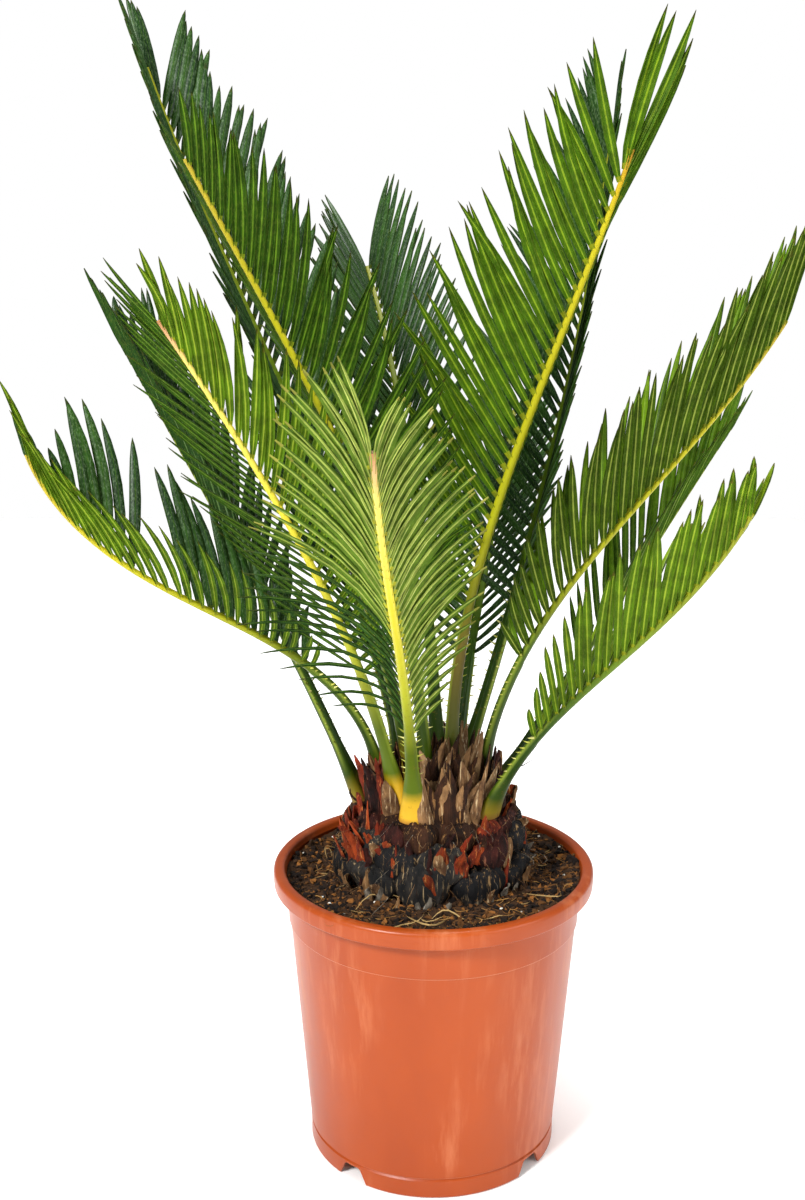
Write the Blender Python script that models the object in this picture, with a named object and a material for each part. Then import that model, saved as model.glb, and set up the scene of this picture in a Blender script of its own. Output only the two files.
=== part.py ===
# Sago palm in a round plastic nursery pot: pot, soil, trunk, and fourteen fronds,
# each a stalk and a blade that is cut to its rib between the leaflets.
# Metres, +Z up. The origin is the middle of the pot's underside, and -Y is the front.
import math
import random
from collections import namedtuple

import bmesh
import bpy
import numpy as np
from mathutils import Vector
from mathutils.bvhtree import BVHTree

CLEARANCE = 0.0003          # gap between pieces that touch

# Pot: a thin moulded cone with a rolled rim and a notched foot ring
POT_HEIGHT = 0.158
RIM_RADIUS = 0.085
RIM_DEPTH = 0.0095
BAND_RADIUS = 0.0772        # wall just under the rim
BAND_BOTTOM = 0.129
FOOT_RADIUS = 0.0667
FOOT_HEIGHT = 0.0108
WALL = 0.0017
FLOOR_THICKNESS = 0.002
CENTRE_FOOT_RADIUS = 0.020
CENTRE_FOOT_DRAFT = 0.002
BAND_STEP = 0.0008          # how far the band under the rim stands out from the wall
POT_SIDES = 48
NOTCH_AZIMUTHS = (-130, -40, 50, 140)
NOTCH_WIDTH_BOTTOM = 0.0195
NOTCH_WIDTH_TOP = 0.0100
NOTCH_HEIGHT = 0.0084
NOTCH_DEPTH = 0.008         # how far in from the outer face a notch cuts

# Soil fills the pot to a little under the rim, and the trunk stands on its level middle
SOIL_LEVEL = 0.1490
SOIL_FALL = 0.0022          # how much lower the soil lies beside the wall
SOIL_TILT = 0.0014          # and how much higher at the front right than at the back left
SOIL_HIGH_SIDE = -50
SOIL_MIDDLE = 0.050         # radius of the level middle
SOIL_RINGS = (0.060, 0.070)
SOIL_EDGE_DEPTH = 0.006     # the soil leaves the wall this far below its level
SOIL_BUMP = 0.0005
SOIL_BUMPS = 4
SOIL_SIDES = 36

# Trunk: a squat bulb of old leaf bases under a low dome that the stalks stand on
TRUNK_HEIGHT = 0.041
TRUNK_PROFILE = (           # height above the soil, radius
    (0.0, 0.0450), (0.005, 0.0472), (0.012, 0.0468), (0.019, 0.0454),
    (0.027, 0.0432), (0.035, 0.0414), (TRUNK_HEIGHT, 0.0405))
TRUNK_SIDES = 26
SCAR_RELIEF = 0.0016
DOME_HEIGHT = 0.0130
DOME_RADIUS = TRUNK_PROFILE[-1][1]
DOME_RINGS = (0.034, 0.026, 0.018, 0.0095)
BUD_RADIUS = 0.0075
BUD_HEIGHT = 0.020
BUD_RINGS = ((1.0, 0.15), (0.55, 0.70))        # shares of the bud's radius and height

# Stalk and rib sections: half width and half depth in metres
FOOT_HALF_WIDTH = 0.0058
FOOT_HALF_DEPTH = 0.0040
STALK_HALF_WIDTH = 0.0036
STALK_HALF_DEPTH = 0.0029
STALK_TOP_HALF_WIDTH = 0.0025
STALK_TOP_HALF_DEPTH = 0.0023
RIB_HALF_WIDTH = 0.0022
RIB_KEEL = 0.0026
RIB_TIP_SCALE = 0.35
RIB_POINT = 0.002
INNER_FOOT_SCALE = 0.70
INNER_FEET = 0.022          # feet nearer the axis than this are the slimmer ones
SWOLLEN_SHARE = 0.12        # share of the frond that the swollen foot takes
SWOLLEN_RINGS = (0.0, 0.17, 0.42, 0.75, 1.0)
STALK_RINGS = 5

# Leaflets are fewer and wider than life
LEAFLET_PITCH = 0.0123
LEAFLET_SHARE = 0.76        # share of the pitch that a leaflet takes
LEAFLET_THICKNESS = 0.0011
LEAFLET_WAIST = 0.62        # where along the leaflet it starts to narrow
LEAFLET_WAIST_WIDTH = 0.80
LEAFLET_BOW = 0.035
TEST_MARGIN = 0.0004
SIDES = {"right": (1, 2), "left": (4, 0)}      # corners of a rib ring that a leaflet leaves from
RIB_STEPS = 96

# A row of leaflets folds up from the blade's flat, opens away from the rib, and is as long as a
# share of the longest leaflet. Each is one value, or values at shares of the blade from its foot
# to its tip. A gap is where the row has lost its leaflets.
Row = namedtuple("Row", "fold opening reach gap", defaults=(None,))
USUAL_OPENING = ((0, 68), (0.2, 56), (0.5, 43), (0.75, 33), (1, 24))
USUAL_REACH = ((0, 0.35), (0.1, 0.6), (0.2, 0.81), (0.3, 0.95), (0.4, 1), (0.6, 0.93), (0.8, 0.77), (1, 0.55))

# A frond leaves its foot on the dome (azimuth and radius) and heads out along an azimuth
# that turns evenly from foot to tip. Its lift above level is given at foot, middle and tip.
# Roll turns the blade about its rib. Stalk is the share of the length that has no leaflets,
# and leaflet is its longest one. Right and left are seen along the frond from its foot, with
# the upper face up. Angles are in degrees.
Frond = namedtuple(
    "Frond", "name foot_azimuth foot_radius headings lifts length roll stalk leaflet right left")
FRONDS = (
    Frond("back_left_tall", 135, 0.016, (146, 156), (78, 63, 69), 0.400, 10, 0.27, 0.078,
          Row(38, ((0, 64), (0.3, 44), (0.5, 33), (0.7, 25), (1, 17)),
              ((0, 0.35), (0.2, 0.85), (0.4, 1.1), (0.6, 1.15), (0.75, 1.0), (0.88, 0.85), (1, 0.6))),
          Row(38, USUAL_OPENING, USUAL_REACH)),
    Frond("left_tall", 250, 0.014, (195, 192), (91, 67, 62), 0.338, -34, 0.26, 0.082,
          Row(32, ((0, 60), (0.5, 40), (1, 26)), ((0, 0.3), (0.3, 0.62), (0.7, 0.6), (1, 0.3))),
          Row(32, USUAL_OPENING,
              ((0, 0.35), (0.1, 0.6), (0.2, 0.8), (0.35, 0.94), (0.55, 0.95), (0.75, 0.78), (0.88, 0.58),
               (1, 0.42)))),
    Frond("front_left", 225, 0.026, (214, 213), (78, 62, 55), 0.280, -12, 0.27, 0.080,
          Row(-13, ((0, 50), (0.4, 40), (0.75, 24), (1, 8)),
              ((0, 0.5), (0.2, 0.95), (0.5, 0.92), (0.7, 0.8), (1, 0.5))),
          Row(33, ((0, 60), (0.3, 44), (0.6, 30), (1, 16)),
              ((0, 0.35), (0.2, 0.85), (0.4, 1.0), (0.55, 0.95), (0.7, 0.8), (0.85, 0.65), (1, 0.45)))),
    Frond("left", 176, 0.038, (164, 160), (67, 60, 59), 0.274, 0, 0.31, 0.078,
          Row(38, ((0, 52), (0.4, 32), (1, 18)),
              ((0, 0.3), (0.3, 0.72), (0.5, 0.85), (0.7, 1.0), (0.77, 1.0), (0.84, 0.5), (1, 0.32))),
          Row(38, USUAL_OPENING, USUAL_REACH)),
    Frond("left_low", 160, 0.03, (207, 198), (87, 31, 72), 0.266, 6, 0.31, 0.085,
          Row(62, ((0, 60), (0.4, 50), (0.56, 60), (0.69, 48), (0.75, 40), (0.85, 20), (1, 8)),
              ((0, 0.3), (0.3, 0.8), (0.45, 0.86), (0.56, 0.8), (0.69, 0.9), (0.76, 0.7), (0.82, 0.3),
               (1, 0.3)), gap=(0.43, 0.565)),
          Row(((0, 42), (0.5, 48), (0.62, 72), (1, 90)),
              ((0, 66), (0.4, 46), (0.5, 34), (0.62, 22), (0.75, 14), (1, 8)),
              ((0, 0.3), (0.3, 0.7), (0.45, 0.75), (0.6, 0.68), (0.8, 0.6), (1, 0.5)))),
    Frond("front", 252, 0.034, (262, 266), (80, 44, 54), 0.275, 0, 0.2, 0.075,
          Row(((0, 10), (0.25, 14), (0.45, 30), (0.6, 34)),
              ((0, 72), (0.15, 69), (0.3, 62), (0.5, 48), (0.85, 30), (1, 14)),
              ((0, 0.45), (0.1, 0.9), (0.2, 1.1), (0.35, 1.15), (0.5, 1.0), (0.8, 0.95), (0.91, 0.8),
               (1, 0.6))),
          Row(34, ((0, 52), (0.3, 44), (0.7, 38), (1, 26)),
              ((0, 0.3), (0.12, 0.62), (0.3, 0.85), (0.5, 0.93), (0.62, 0.85), (0.8, 0.72), (0.91, 0.56),
               (1, 0.34)))),
    Frond("back_tall", 80, 0.016, (100, 106), (77, 55, 40), 0.320, 14, 0.27, 0.080,
          Row(40, ((0, 68), (0.2, 56), (0.5, 43), (0.75, 36), (1, 29)),
              ((0, 0.35), (0.2, 0.81), (0.4, 1.0), (0.7, 1.0), (0.86, 1.0), (1, 0.85))),
          Row(40, ((0, 68), (0.2, 56), (0.5, 43), (0.75, 28), (1, 17)),
              ((0, 0.35), (0.2, 0.81), (0.4, 1.0), (0.7, 1.05), (1, 0.8)))),
    Frond("right_tall", -50, 0.015, (-14, -10), (94, 72, 72), 0.332, 50, 0.27, 0.090,
          Row(40, ((0, 58), (0.3, 48), (0.8, 43), (1, 38)),
              ((0, 0.4), (0.15, 0.85), (0.3, 1.06), (0.55, 1.05), (0.75, 0.9), (0.88, 0.78), (1, 0.42))),
          Row(58, ((0, 60), (0.5, 34), (0.8, 20), (1, 10)),
              ((0, 0.35), (0.3, 0.8), (0.6, 0.9), (1, 0.88)))),
    Frond("back_right_tall", 40, 0.018, (24, 18), (71, 76, 84), 0.345, -10, 0.28, 0.080,
          Row(35, USUAL_OPENING, USUAL_REACH),
          Row(35, USUAL_OPENING, USUAL_REACH)),
    Frond("right", 0, 0.025, (-18, -15), (87, 53, 61), 0.288, 0, 0.26, 0.078,
          Row(48, ((0, 52), (0.5, 34), (1, 20)),
              ((0, 0.35), (0.1, 0.6), (0.2, 0.81), (0.3, 0.95), (0.4, 1.0), (0.6, 1.0), (0.8, 0.95),
               (1, 0.72))),
          Row(48, USUAL_OPENING,
              ((0, 0.35), (0.1, 0.6), (0.2, 0.81), (0.3, 0.95), (0.4, 1.0), (0.6, 1.0), (0.8, 0.95),
               (1, 0.72)))),
    Frond("back_right", 22, 0.036, (22, 24), (53, 54, 52), 0.234, 0, 0.32, 0.070,
          Row(42, USUAL_OPENING, ((0, 0.35), (0.3, 0.9), (0.6, 0.8), (1, 0.35))),
          Row(42, ((0, 44), (0.5, 26), (1, 14)), USUAL_REACH)),
    Frond("front_right", -38, 0.035, (-46, -42), (66, 44, 62), 0.228, 0, 0.24, 0.070,
          Row(48, ((0, 42), (0.5, 32), (1, 20)),
              ((0, 0.2), (0.05, 0.4), (0.2, 0.81), (0.3, 0.95), (0.4, 1.0), (0.6, 0.93), (0.8, 0.72),
               (1, 0.4))),
          Row(48, ((0, 56), (0.5, 40), (0.8, 20), (1, 10)),
              ((0, 0.35), (0.2, 0.81), (0.4, 1.0), (0.6, 0.85), (0.8, 0.62), (1, 0.36)))),
    Frond("back_low", 68, 0.034, (72, 76), (74, 48, 46), 0.236, 0, 0.28, 0.068,
          Row(36, USUAL_OPENING, USUAL_REACH),
          Row(36, USUAL_OPENING, USUAL_REACH)),
    Frond("back_left_low", 118, 0.034, (120, 122), (74, 46, 46), 0.240, 0, 0.28, 0.068,
          Row(36, USUAL_OPENING, USUAL_REACH),
          Row(36, USUAL_OPENING, USUAL_REACH)),
)


def empty_scene():
    for item in list(bpy.data.objects):
        bpy.data.objects.remove(item, do_unlink=True)


def plain_material(name, colour, roughness):
    material = bpy.data.materials.new(name)
    material.use_nodes = True
    shader = material.node_tree.nodes["Principled BSDF"]
    shader.inputs["Base Color"].default_value = (*colour, 1.0)
    shader.inputs["Roughness"].default_value = roughness
    shader.inputs["Metallic"].default_value = 0.0
    return material


def object_from(bm, name, material, smooth_angle=None):
    mesh = bpy.data.meshes.new(name)
    bm.to_mesh(mesh)
    bm.free()
    mesh.materials.append(material)
    if smooth_angle is not None:
        mesh.shade_smooth()
        mesh.set_sharp_from_angle(angle=math.radians(smooth_angle))
    item = bpy.data.objects.new(name, mesh)
    bpy.context.collection.objects.link(item)
    return item


def turned(bm, profile, sides, lift=None):
    # turns an open (radius, height) profile that starts and ends on the axis into a closed solid
    rings = []
    for radius, height in profile[1:-1]:
        ring = []
        for side in range(sides):
            angle = math.tau * side / sides
            extra = lift(radius, angle, height) if lift else 0.0
            spot = (radius * math.cos(angle), radius * math.sin(angle), height + extra)
            ring.append(bm.verts.new(spot))
        rings.append(ring)
    for upper, lower in zip(rings, rings[1:]):
        for side in range(sides):
            after = (side + 1) % sides
            bm.faces.new((upper[side], upper[after], lower[after], lower[side]))
    for ring, end in ((rings[0], profile[0]), (rings[-1], profile[-1])):
        pole = bm.verts.new((0.0, 0.0, end[1]))
        for side in range(sides):
            bm.faces.new((pole, ring[side], ring[(side + 1) % sides]))
    bmesh.ops.recalc_face_normals(bm, faces=bm.faces)


# Pot

def wall_radius(height):
    # outer face of the straight wall between the foot step and the band under the rim
    share = (height - FOOT_HEIGHT) / (BAND_BOTTOM - FOOT_HEIGHT)
    return FOOT_RADIUS + (BAND_RADIUS - BAND_STEP - FOOT_RADIUS) * share


def pot_profile():
    rim_bottom = POT_HEIGHT - RIM_DEPTH
    floor_top = FOOT_HEIGHT + FLOOR_THICKNESS
    edge = 0.0016
    outside = [
        (FOOT_RADIUS - WALL, 0.0), (FOOT_RADIUS, 0.0), (FOOT_RADIUS, FOOT_HEIGHT),
        (wall_radius(BAND_BOTTOM), BAND_BOTTOM), (BAND_RADIUS, BAND_BOTTOM + edge),
        (BAND_RADIUS + 0.001, rim_bottom - edge), (RIM_RADIUS - edge, rim_bottom),
        (RIM_RADIUS, rim_bottom + edge), (RIM_RADIUS, POT_HEIGHT - 2 * edge),
        (RIM_RADIUS - edge, POT_HEIGHT - 0.4 * edge), (RIM_RADIUS - 3 * edge, POT_HEIGHT)]
    inside = [
        (RIM_RADIUS - 0.0063, POT_HEIGHT - edge), (BAND_RADIUS + 0.001 - WALL, rim_bottom - edge),
        (wall_radius(floor_top) - WALL, floor_top)]
    underside = [
        (0.0, floor_top), (0.0, 0.0), (CENTRE_FOOT_RADIUS, 0.0),
        (CENTRE_FOOT_RADIUS + CENTRE_FOOT_DRAFT, FOOT_HEIGHT)]
    return underside, outside, inside


def make_pot(material):
    underside, outside, inside = pot_profile()
    run = underside[1:] + [(FOOT_RADIUS - WALL, FOOT_HEIGHT)] + outside + inside + underside[:1]
    bm = bmesh.new()
    turned(bm, run, POT_SIDES)
    pot = object_from(bm, "pot", material, 35)
    for number, azimuth in enumerate(NOTCH_AZIMUTHS):
        cut = pot.modifiers.new(f"notch_{number}", "BOOLEAN")
        cut.operation = "DIFFERENCE"
        cut.object = notch_cutter(number, azimuth)
    return pot


def notch_cutter(number, azimuth):
    # a wedge that stands across the foot ring, wider at the bottom
    bm = bmesh.new()
    spare = 0.001
    length = NOTCH_DEPTH + 6 * spare
    corners = (
        (-NOTCH_WIDTH_BOTTOM / 2, -spare), (NOTCH_WIDTH_BOTTOM / 2, -spare),
        (NOTCH_WIDTH_TOP / 2, NOTCH_HEIGHT), (-NOTCH_WIDTH_TOP / 2, NOTCH_HEIGHT))
    face = bm.faces.new([bm.verts.new((FOOT_RADIUS - NOTCH_DEPTH, y, z)) for y, z in corners])
    grown = bmesh.ops.extrude_face_region(bm, geom=[face])
    moved = [vert for vert in grown["geom"] if isinstance(vert, bmesh.types.BMVert)]
    bmesh.ops.translate(bm, vec=(length, 0.0, 0.0), verts=moved)
    bmesh.ops.recalc_face_normals(bm, faces=bm.faces)
    mesh = bpy.data.meshes.new(f"notch_cutter_{number}")
    bm.to_mesh(mesh)
    bm.free()
    cutter = bpy.data.objects.new(f"notch_cutter_{number}", mesh)
    cutter.rotation_euler.z = math.radians(azimuth)
    cutter.hide_render = True
    cutter.display_type = "WIRE"
    bpy.context.collection.objects.link(cutter)
    return cutter


# Soil

def make_soil(material):
    chance = random.Random(11)
    bumps = []
    for _ in range(SOIL_BUMPS):
        bumps.append((chance.uniform(0, math.tau), chance.randint(2, 6), chance.uniform(0.3, 1.0)))

    def lift(radius, angle, height):
        if radius <= SOIL_MIDDLE or height < SOIL_LEVEL - SOIL_FALL:
            return 0.0
        wave = sum(size * math.sin(count * angle + phase) for phase, count, size in bumps)
        return SOIL_BUMP * wave + SOIL_TILT * math.cos(angle - math.radians(SOIL_HIGH_SIDE))

    floor = FOOT_HEIGHT + FLOOR_THICKNESS + CLEARANCE
    fit = WALL + 2 * CLEARANCE
    edge = SOIL_LEVEL - SOIL_EDGE_DEPTH
    profile = [
        (0.0, SOIL_LEVEL), (SOIL_MIDDLE * 0.5, SOIL_LEVEL), (SOIL_MIDDLE, SOIL_LEVEL),
        (SOIL_RINGS[0], SOIL_LEVEL - 0.3 * SOIL_FALL), (SOIL_RINGS[1], SOIL_LEVEL - SOIL_FALL),
        (wall_radius(edge) - fit, edge), (wall_radius(floor) - fit, floor), (0.0, floor)]
    bm = bmesh.new()
    turned(bm, profile, SOIL_SIDES, lift)
    return object_from(bm, "soil", material, 50)


# Trunk

def dome_level(radius):
    top = SOIL_LEVEL + CLEARANCE + TRUNK_HEIGHT + DOME_HEIGHT
    return top - DOME_HEIGHT * (radius / DOME_RADIUS) ** 2


def make_trunk(material):
    # old leaf bases stand out as knobs on every other corner of staggered rings
    foot = SOIL_LEVEL + CLEARANCE
    bm = bmesh.new()
    rings = []
    for row, (height, radius) in enumerate(TRUNK_PROFILE):
        relief = 0.0 if row in (0, len(TRUNK_PROFILE) - 1) else SCAR_RELIEF
        ring = []
        for side in range(TRUNK_SIDES):
            angle = math.tau * (side + 0.5 * (row % 2)) / TRUNK_SIDES
            reach = radius + relief * (1 if side % 2 == row // 2 % 2 else -1)
            ring.append(bm.verts.new((reach * math.cos(angle), reach * math.sin(angle), foot + height)))
        rings.append(ring)
    for radius in DOME_RINGS:
        rings.append([])
        for side in range(TRUNK_SIDES):
            angle = math.tau * side / TRUNK_SIDES
            spot = (radius * math.cos(angle), radius * math.sin(angle), dome_level(radius))
            rings[-1].append(bm.verts.new(spot))
    bud_foot = dome_level(0.0)
    for radius_share, height_share in BUD_RINGS:
        rings.append([])
        radius = BUD_RADIUS * radius_share
        for side in range(TRUNK_SIDES):
            angle = math.tau * side / TRUNK_SIDES
            height = bud_foot + BUD_HEIGHT * height_share
            spot = (radius * math.cos(angle), radius * math.sin(angle), height)
            rings[-1].append(bm.verts.new(spot))
    for row, (lower, upper) in enumerate(zip(rings, rings[1:])):
        turn = row % 2 if row < len(TRUNK_PROFILE) - 1 else 0
        for side in range(TRUNK_SIDES):
            after = (side + 1) % TRUNK_SIDES
            if turn:
                bm.faces.new((lower[side], upper[after], upper[side]))
                bm.faces.new((lower[side], lower[after], upper[after]))
            else:
                bm.faces.new((lower[side], lower[after], upper[side]))
                bm.faces.new((lower[after], upper[after], upper[side]))
    bm.faces.new(list(reversed(rings[0])))
    tip = bm.verts.new((0.0, 0.0, bud_foot + BUD_HEIGHT))
    for side in range(TRUNK_SIDES):
        bm.faces.new((rings[-1][side], rings[-1][(side + 1) % TRUNK_SIDES], tip))
    bmesh.ops.recalc_face_normals(bm, faces=bm.faces)
    return object_from(bm, "trunk", material, 60)


# Fronds

def between(three, share):
    # a smooth curve through the values at the foot, the middle and the tip
    foot, middle, tip = three
    return (foot * (1 - share) * (1 - 2 * share) + middle * 4 * share * (1 - share)
            + tip * share * (2 * share - 1))


def rib_course(frond):
    # points along the rib, each with its directions: along, across and the face that looks up
    foot = math.radians(frond.foot_azimuth)
    spot = Vector((frond.foot_radius * math.cos(foot), frond.foot_radius * math.sin(foot),
                   dome_level(frond.foot_radius) + CLEARANCE))
    roll = math.radians(frond.roll)
    course = []
    for step in range(RIB_STEPS + 1):
        share = step / RIB_STEPS
        heading = math.radians(frond.headings[0] + (frond.headings[1] - frond.headings[0]) * share)
        lift = math.radians(between(frond.lifts, share))
        level = Vector((math.sin(heading), -math.cos(heading), 0.0))
        outward = Vector((math.cos(heading), math.sin(heading), 0.0))
        along = outward * math.cos(lift) + Vector((0.0, 0.0, math.sin(lift)))
        face = level.cross(along)
        across = level * math.cos(roll) + face * math.sin(roll)
        course.append((spot.copy(), along, across, across.cross(along)))
        spot += along * frond.length / RIB_STEPS
    return course


def at(course, share):
    place = min(max(share, 0.0), 1.0) * RIB_STEPS
    step = min(int(place), RIB_STEPS - 1)
    part = place - step
    first, second = course[step], course[step + 1]
    spot = first[0].lerp(second[0], part)
    return (spot, *(a.lerp(b, part).normalized() for a, b in zip(first[1:], second[1:])))


def placed(frame, across, face):
    return frame[0] + frame[2] * across + frame[3] * face


def make_stalk(frond, course, material):
    # six-sided, swollen at the foot, with its foot flat on the slope of the dome
    scale = INNER_FOOT_SCALE if frond.foot_radius < INNER_FEET else 1.0
    rest = frond.stalk - CLEARANCE / frond.length - SWOLLEN_SHARE
    shares = [SWOLLEN_SHARE * part for part in SWOLLEN_RINGS]
    shares += [SWOLLEN_SHARE + rest * (step + 1) / STALK_RINGS for step in range(STALK_RINGS)]
    bm = bmesh.new()
    rings = []
    for share in shares:
        frame = at(course, share)
        swell = max(0.0, 1 - share / SWOLLEN_SHARE) ** 1.3
        slim = share / frond.stalk
        width = STALK_HALF_WIDTH + (STALK_TOP_HALF_WIDTH - STALK_HALF_WIDTH) * slim
        depth = STALK_HALF_DEPTH + (STALK_TOP_HALF_DEPTH - STALK_HALF_DEPTH) * slim
        width += (FOOT_HALF_WIDTH * scale - width) * swell
        depth += (FOOT_HALF_DEPTH * scale - depth) * swell
        ring = []
        for corner in range(6):
            angle = math.tau * (corner + 0.5) / 6
            ring.append(placed(frame, width * math.sin(angle), depth * math.cos(angle)))
        rings.append(ring)
    foot = course[0][0]
    slope = Vector((foot.x, foot.y, 0.0)) * (2 * DOME_HEIGHT / DOME_RADIUS ** 2)
    normal = (Vector((0.0, 0.0, 1.0)) + slope).normalized()
    along = course[0][1]
    rings[0] = [spot + along * ((foot - spot).dot(normal) / along.dot(normal)) for spot in rings[0]]
    loops = [[bm.verts.new(spot) for spot in ring] for ring in rings]
    for lower, upper in zip(loops, loops[1:]):
        for corner in range(6):
            after = (corner + 1) % 6
            bm.faces.new((lower[corner], lower[after], upper[after], upper[corner]))
    bm.faces.new(loops[0])
    bm.faces.new(loops[-1])
    bmesh.ops.recalc_face_normals(bm, faces=bm.faces)
    return object_from(bm, f"{frond.name}_stalk", material, 50)


def value_at(values, share):
    if isinstance(values, (int, float)):
        return values
    return float(np.interp(share, *zip(*values)))


def leaflet_way(row, frame, share, side):
    angle = math.radians(value_at(row.opening, share))
    fold = math.radians(value_at(row.fold, share))
    out = frame[2] * side * math.cos(fold) + frame[3] * math.sin(fold)
    return frame[1] * math.cos(angle) + out * math.sin(angle)


def blade_share(frond, share):
    # share of the whole frond for a share of its blade
    return frond.stalk + (1 - frond.stalk) * share


def rib_ring(frond, course, share):
    # five corners: two on the upper face, two where the leaflets leave, and the keel
    frame = at(course, share)
    slim = (share - frond.stalk) / (1 - frond.stalk)
    scale = 1 + (RIB_TIP_SCALE - 1) * slim
    width, half = RIB_HALF_WIDTH * scale, LEAFLET_THICKNESS / 2
    corners = ((-width, half), (width, half), (width, -half), (0.0, -RIB_KEEL * scale), (-width, -half))
    return [placed(frame, across, face) for across, face in corners]


def leaflet_rings(frond, course, side, share, base):
    # where one leaflet that grows from a side face of the rib has its waist and its point
    frame = at(course, blade_share(frond, share))
    row = getattr(frond, side)
    way = leaflet_way(row, frame, share, 1 if side == "right" else -1)
    reach = frond.leaflet * value_at(row.reach, share)
    middle = sum(base, Vector()) / 4
    neck = middle + way * reach * LEAFLET_WAIST + frame[3] * reach * LEAFLET_BOW
    waist = [neck + (spot - middle) * LEAFLET_WAIST_WIDTH for spot in base]
    return waist, middle + way * reach


def leaflet_places(frond):
    # start, end and middle of each pair, as shares of the blade
    count = round(frond.length * (1 - frond.stalk) / LEAFLET_PITCH)
    half = LEAFLET_SHARE / 2
    return [((n + 0.5 - half) / count, (n + 0.5 + half) / count, (n + 0.5) / count) for n in range(count)]


def leaflet_solid(frond, course, side, place):
    # points and faces of one leaflet on its own, to test that it is clear of the other fronds
    start, end, middle = place
    lower = rib_ring(frond, course, blade_share(frond, start))
    upper = rib_ring(frond, course, blade_share(frond, end))
    first, second = SIDES[side]
    base = [lower[first], upper[first], upper[second], lower[second]]
    waist, tip = leaflet_rings(frond, course, side, middle, base)
    points = base + waist + [tip]
    faces = [(n, (n + 1) % 4, 4 + (n + 1) % 4, 4 + n) for n in range(4)]
    faces += [(4 + n, 4 + (n + 1) % 4, 8) for n in range(4)]
    return points, faces


def make_blade(frond, course, left_out, material):
    # the rib is a tube of rings, and each leaflet grows out of a side face of it
    places = leaflet_places(frond)
    shares = [0.0] + [edge for start, end, _ in places for edge in (start, end)]
    bm = bmesh.new()
    loops = []
    for share in shares:
        ring = rib_ring(frond, course, blade_share(frond, share))
        loops.append([bm.verts.new(spot) for spot in ring])
    for lower, upper in zip(loops, loops[1:]):
        for corner in range(5):
            after = (corner + 1) % 5
            bm.faces.new((lower[corner], lower[after], upper[after], upper[corner]))
    bm.faces.new(loops[0])
    point = bm.verts.new(course[-1][0] + course[-1][1] * RIB_POINT)
    for corner in range(5):
        bm.faces.new((loops[-1][corner], loops[-1][(corner + 1) % 5], point))
    bmesh.ops.recalc_face_normals(bm, faces=bm.faces)
    for number, (_, _, middle) in enumerate(places):
        lower, upper = loops[1 + 2 * number], loops[2 + 2 * number]
        for side, (first, second) in SIDES.items():
            if (side, number) in left_out:
                continue
            base = [lower[first], upper[first], upper[second], lower[second]]
            waist, tip = leaflet_rings(frond, course, side, middle, [vert.co.copy() for vert in base])
            grow_leaflet(bm, bm.faces.get(base), base, waist, tip)
    return object_from(bm, f"{frond.name}_blade", material, 25)


def grow_leaflet(bm, face, base, waist, tip):
    place = {tuple(vert.co): spot for vert, spot in zip(base, waist)}
    grown = bmesh.ops.extrude_discrete_faces(bm, faces=[face])["faces"][0]
    for vert in grown.verts:
        vert.co = place[tuple(vert.co)]
    grown = bmesh.ops.extrude_discrete_faces(bm, faces=[grown])["faces"][0]
    bmesh.ops.pointmerge(bm, verts=grown.verts[:], merge_co=tip)


def tree_of(item):
    points = [vert.co for vert in item.data.vertices]
    return BVHTree.FromPolygons(points, [face.vertices for face in item.data.polygons])


def leaflets_left_out(courses, stalks, trunk):
    # a leaflet in a row's gap, or one that would touch another frond, a stalk or the trunk, is not grown
    solid = {frond.name: [tree_of(stalks[frond.name])] for frond in FRONDS}
    steps = 24
    for frond in FRONDS:
        shares = [n / steps for n in range(steps + 1)]
        rings = [rib_ring(frond, courses[frond.name], blade_share(frond, share)) for share in shares]
        points = [spot for ring in rings for spot in ring]
        faces = [(5 * n + c, 5 * n + (c + 1) % 5, 5 * n + 5 + (c + 1) % 5, 5 * n + 5 + c)
                 for n in range(steps) for c in range(5)]
        solid[frond.name].append(BVHTree.FromPolygons(points, faces))
    trunk_tree = tree_of(trunk)
    left_out = {}
    for frond in FRONDS:
        course = courses[frond.name]
        others = [tree for name, trees in solid.items() if name != frond.name for tree in trees]
        others += [trunk_tree, solid[frond.name][0]]
        kept_points, kept_faces = [], []
        left_out[frond.name] = set()
        for number, place in enumerate(leaflet_places(frond)):
            for side in SIDES:
                gap = getattr(frond, side).gap
                points, faces = leaflet_solid(frond, course, side, place)
                tree = BVHTree.FromPolygons(points, faces, epsilon=TEST_MARGIN)
                if gap and gap[0] < place[2] < gap[1] or any(tree.overlap(other) for other in others):
                    left_out[frond.name].add((side, number))
                    continue
                kept_faces += [[len(kept_points) + n for n in face] for face in faces]
                kept_points += points
        solid[frond.name].append(BVHTree.FromPolygons(kept_points, kept_faces, epsilon=TEST_MARGIN))
    return left_out


def main():
    empty_scene()
    pot_plastic = plain_material("pot_plastic", (0.62, 0.16, 0.055), 0.32)
    potting_soil = plain_material("potting_soil", (0.045, 0.024, 0.013), 0.95)
    trunk_bark = plain_material("trunk_bark", (0.085, 0.040, 0.022), 0.85)
    stalk_green = plain_material("stalk_green", (0.115, 0.205, 0.020), 0.45)
    leaflet_green = plain_material("leaflet_green", (0.060, 0.150, 0.018), 0.38)
    make_pot(pot_plastic)
    make_soil(potting_soil)
    trunk = make_trunk(trunk_bark)
    courses = {frond.name: rib_course(frond) for frond in FRONDS}
    stalks = {frond.name: make_stalk(frond, courses[frond.name], stalk_green) for frond in FRONDS}
    left_out = leaflets_left_out(courses, stalks, trunk)
    for frond in FRONDS:
        make_blade(frond, courses[frond.name], left_out[frond.name], leaflet_green)


main()
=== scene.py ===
import math
import random

import bpy
import numpy as np
from mathutils import Matrix, Quaternion, Vector, noise


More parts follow.
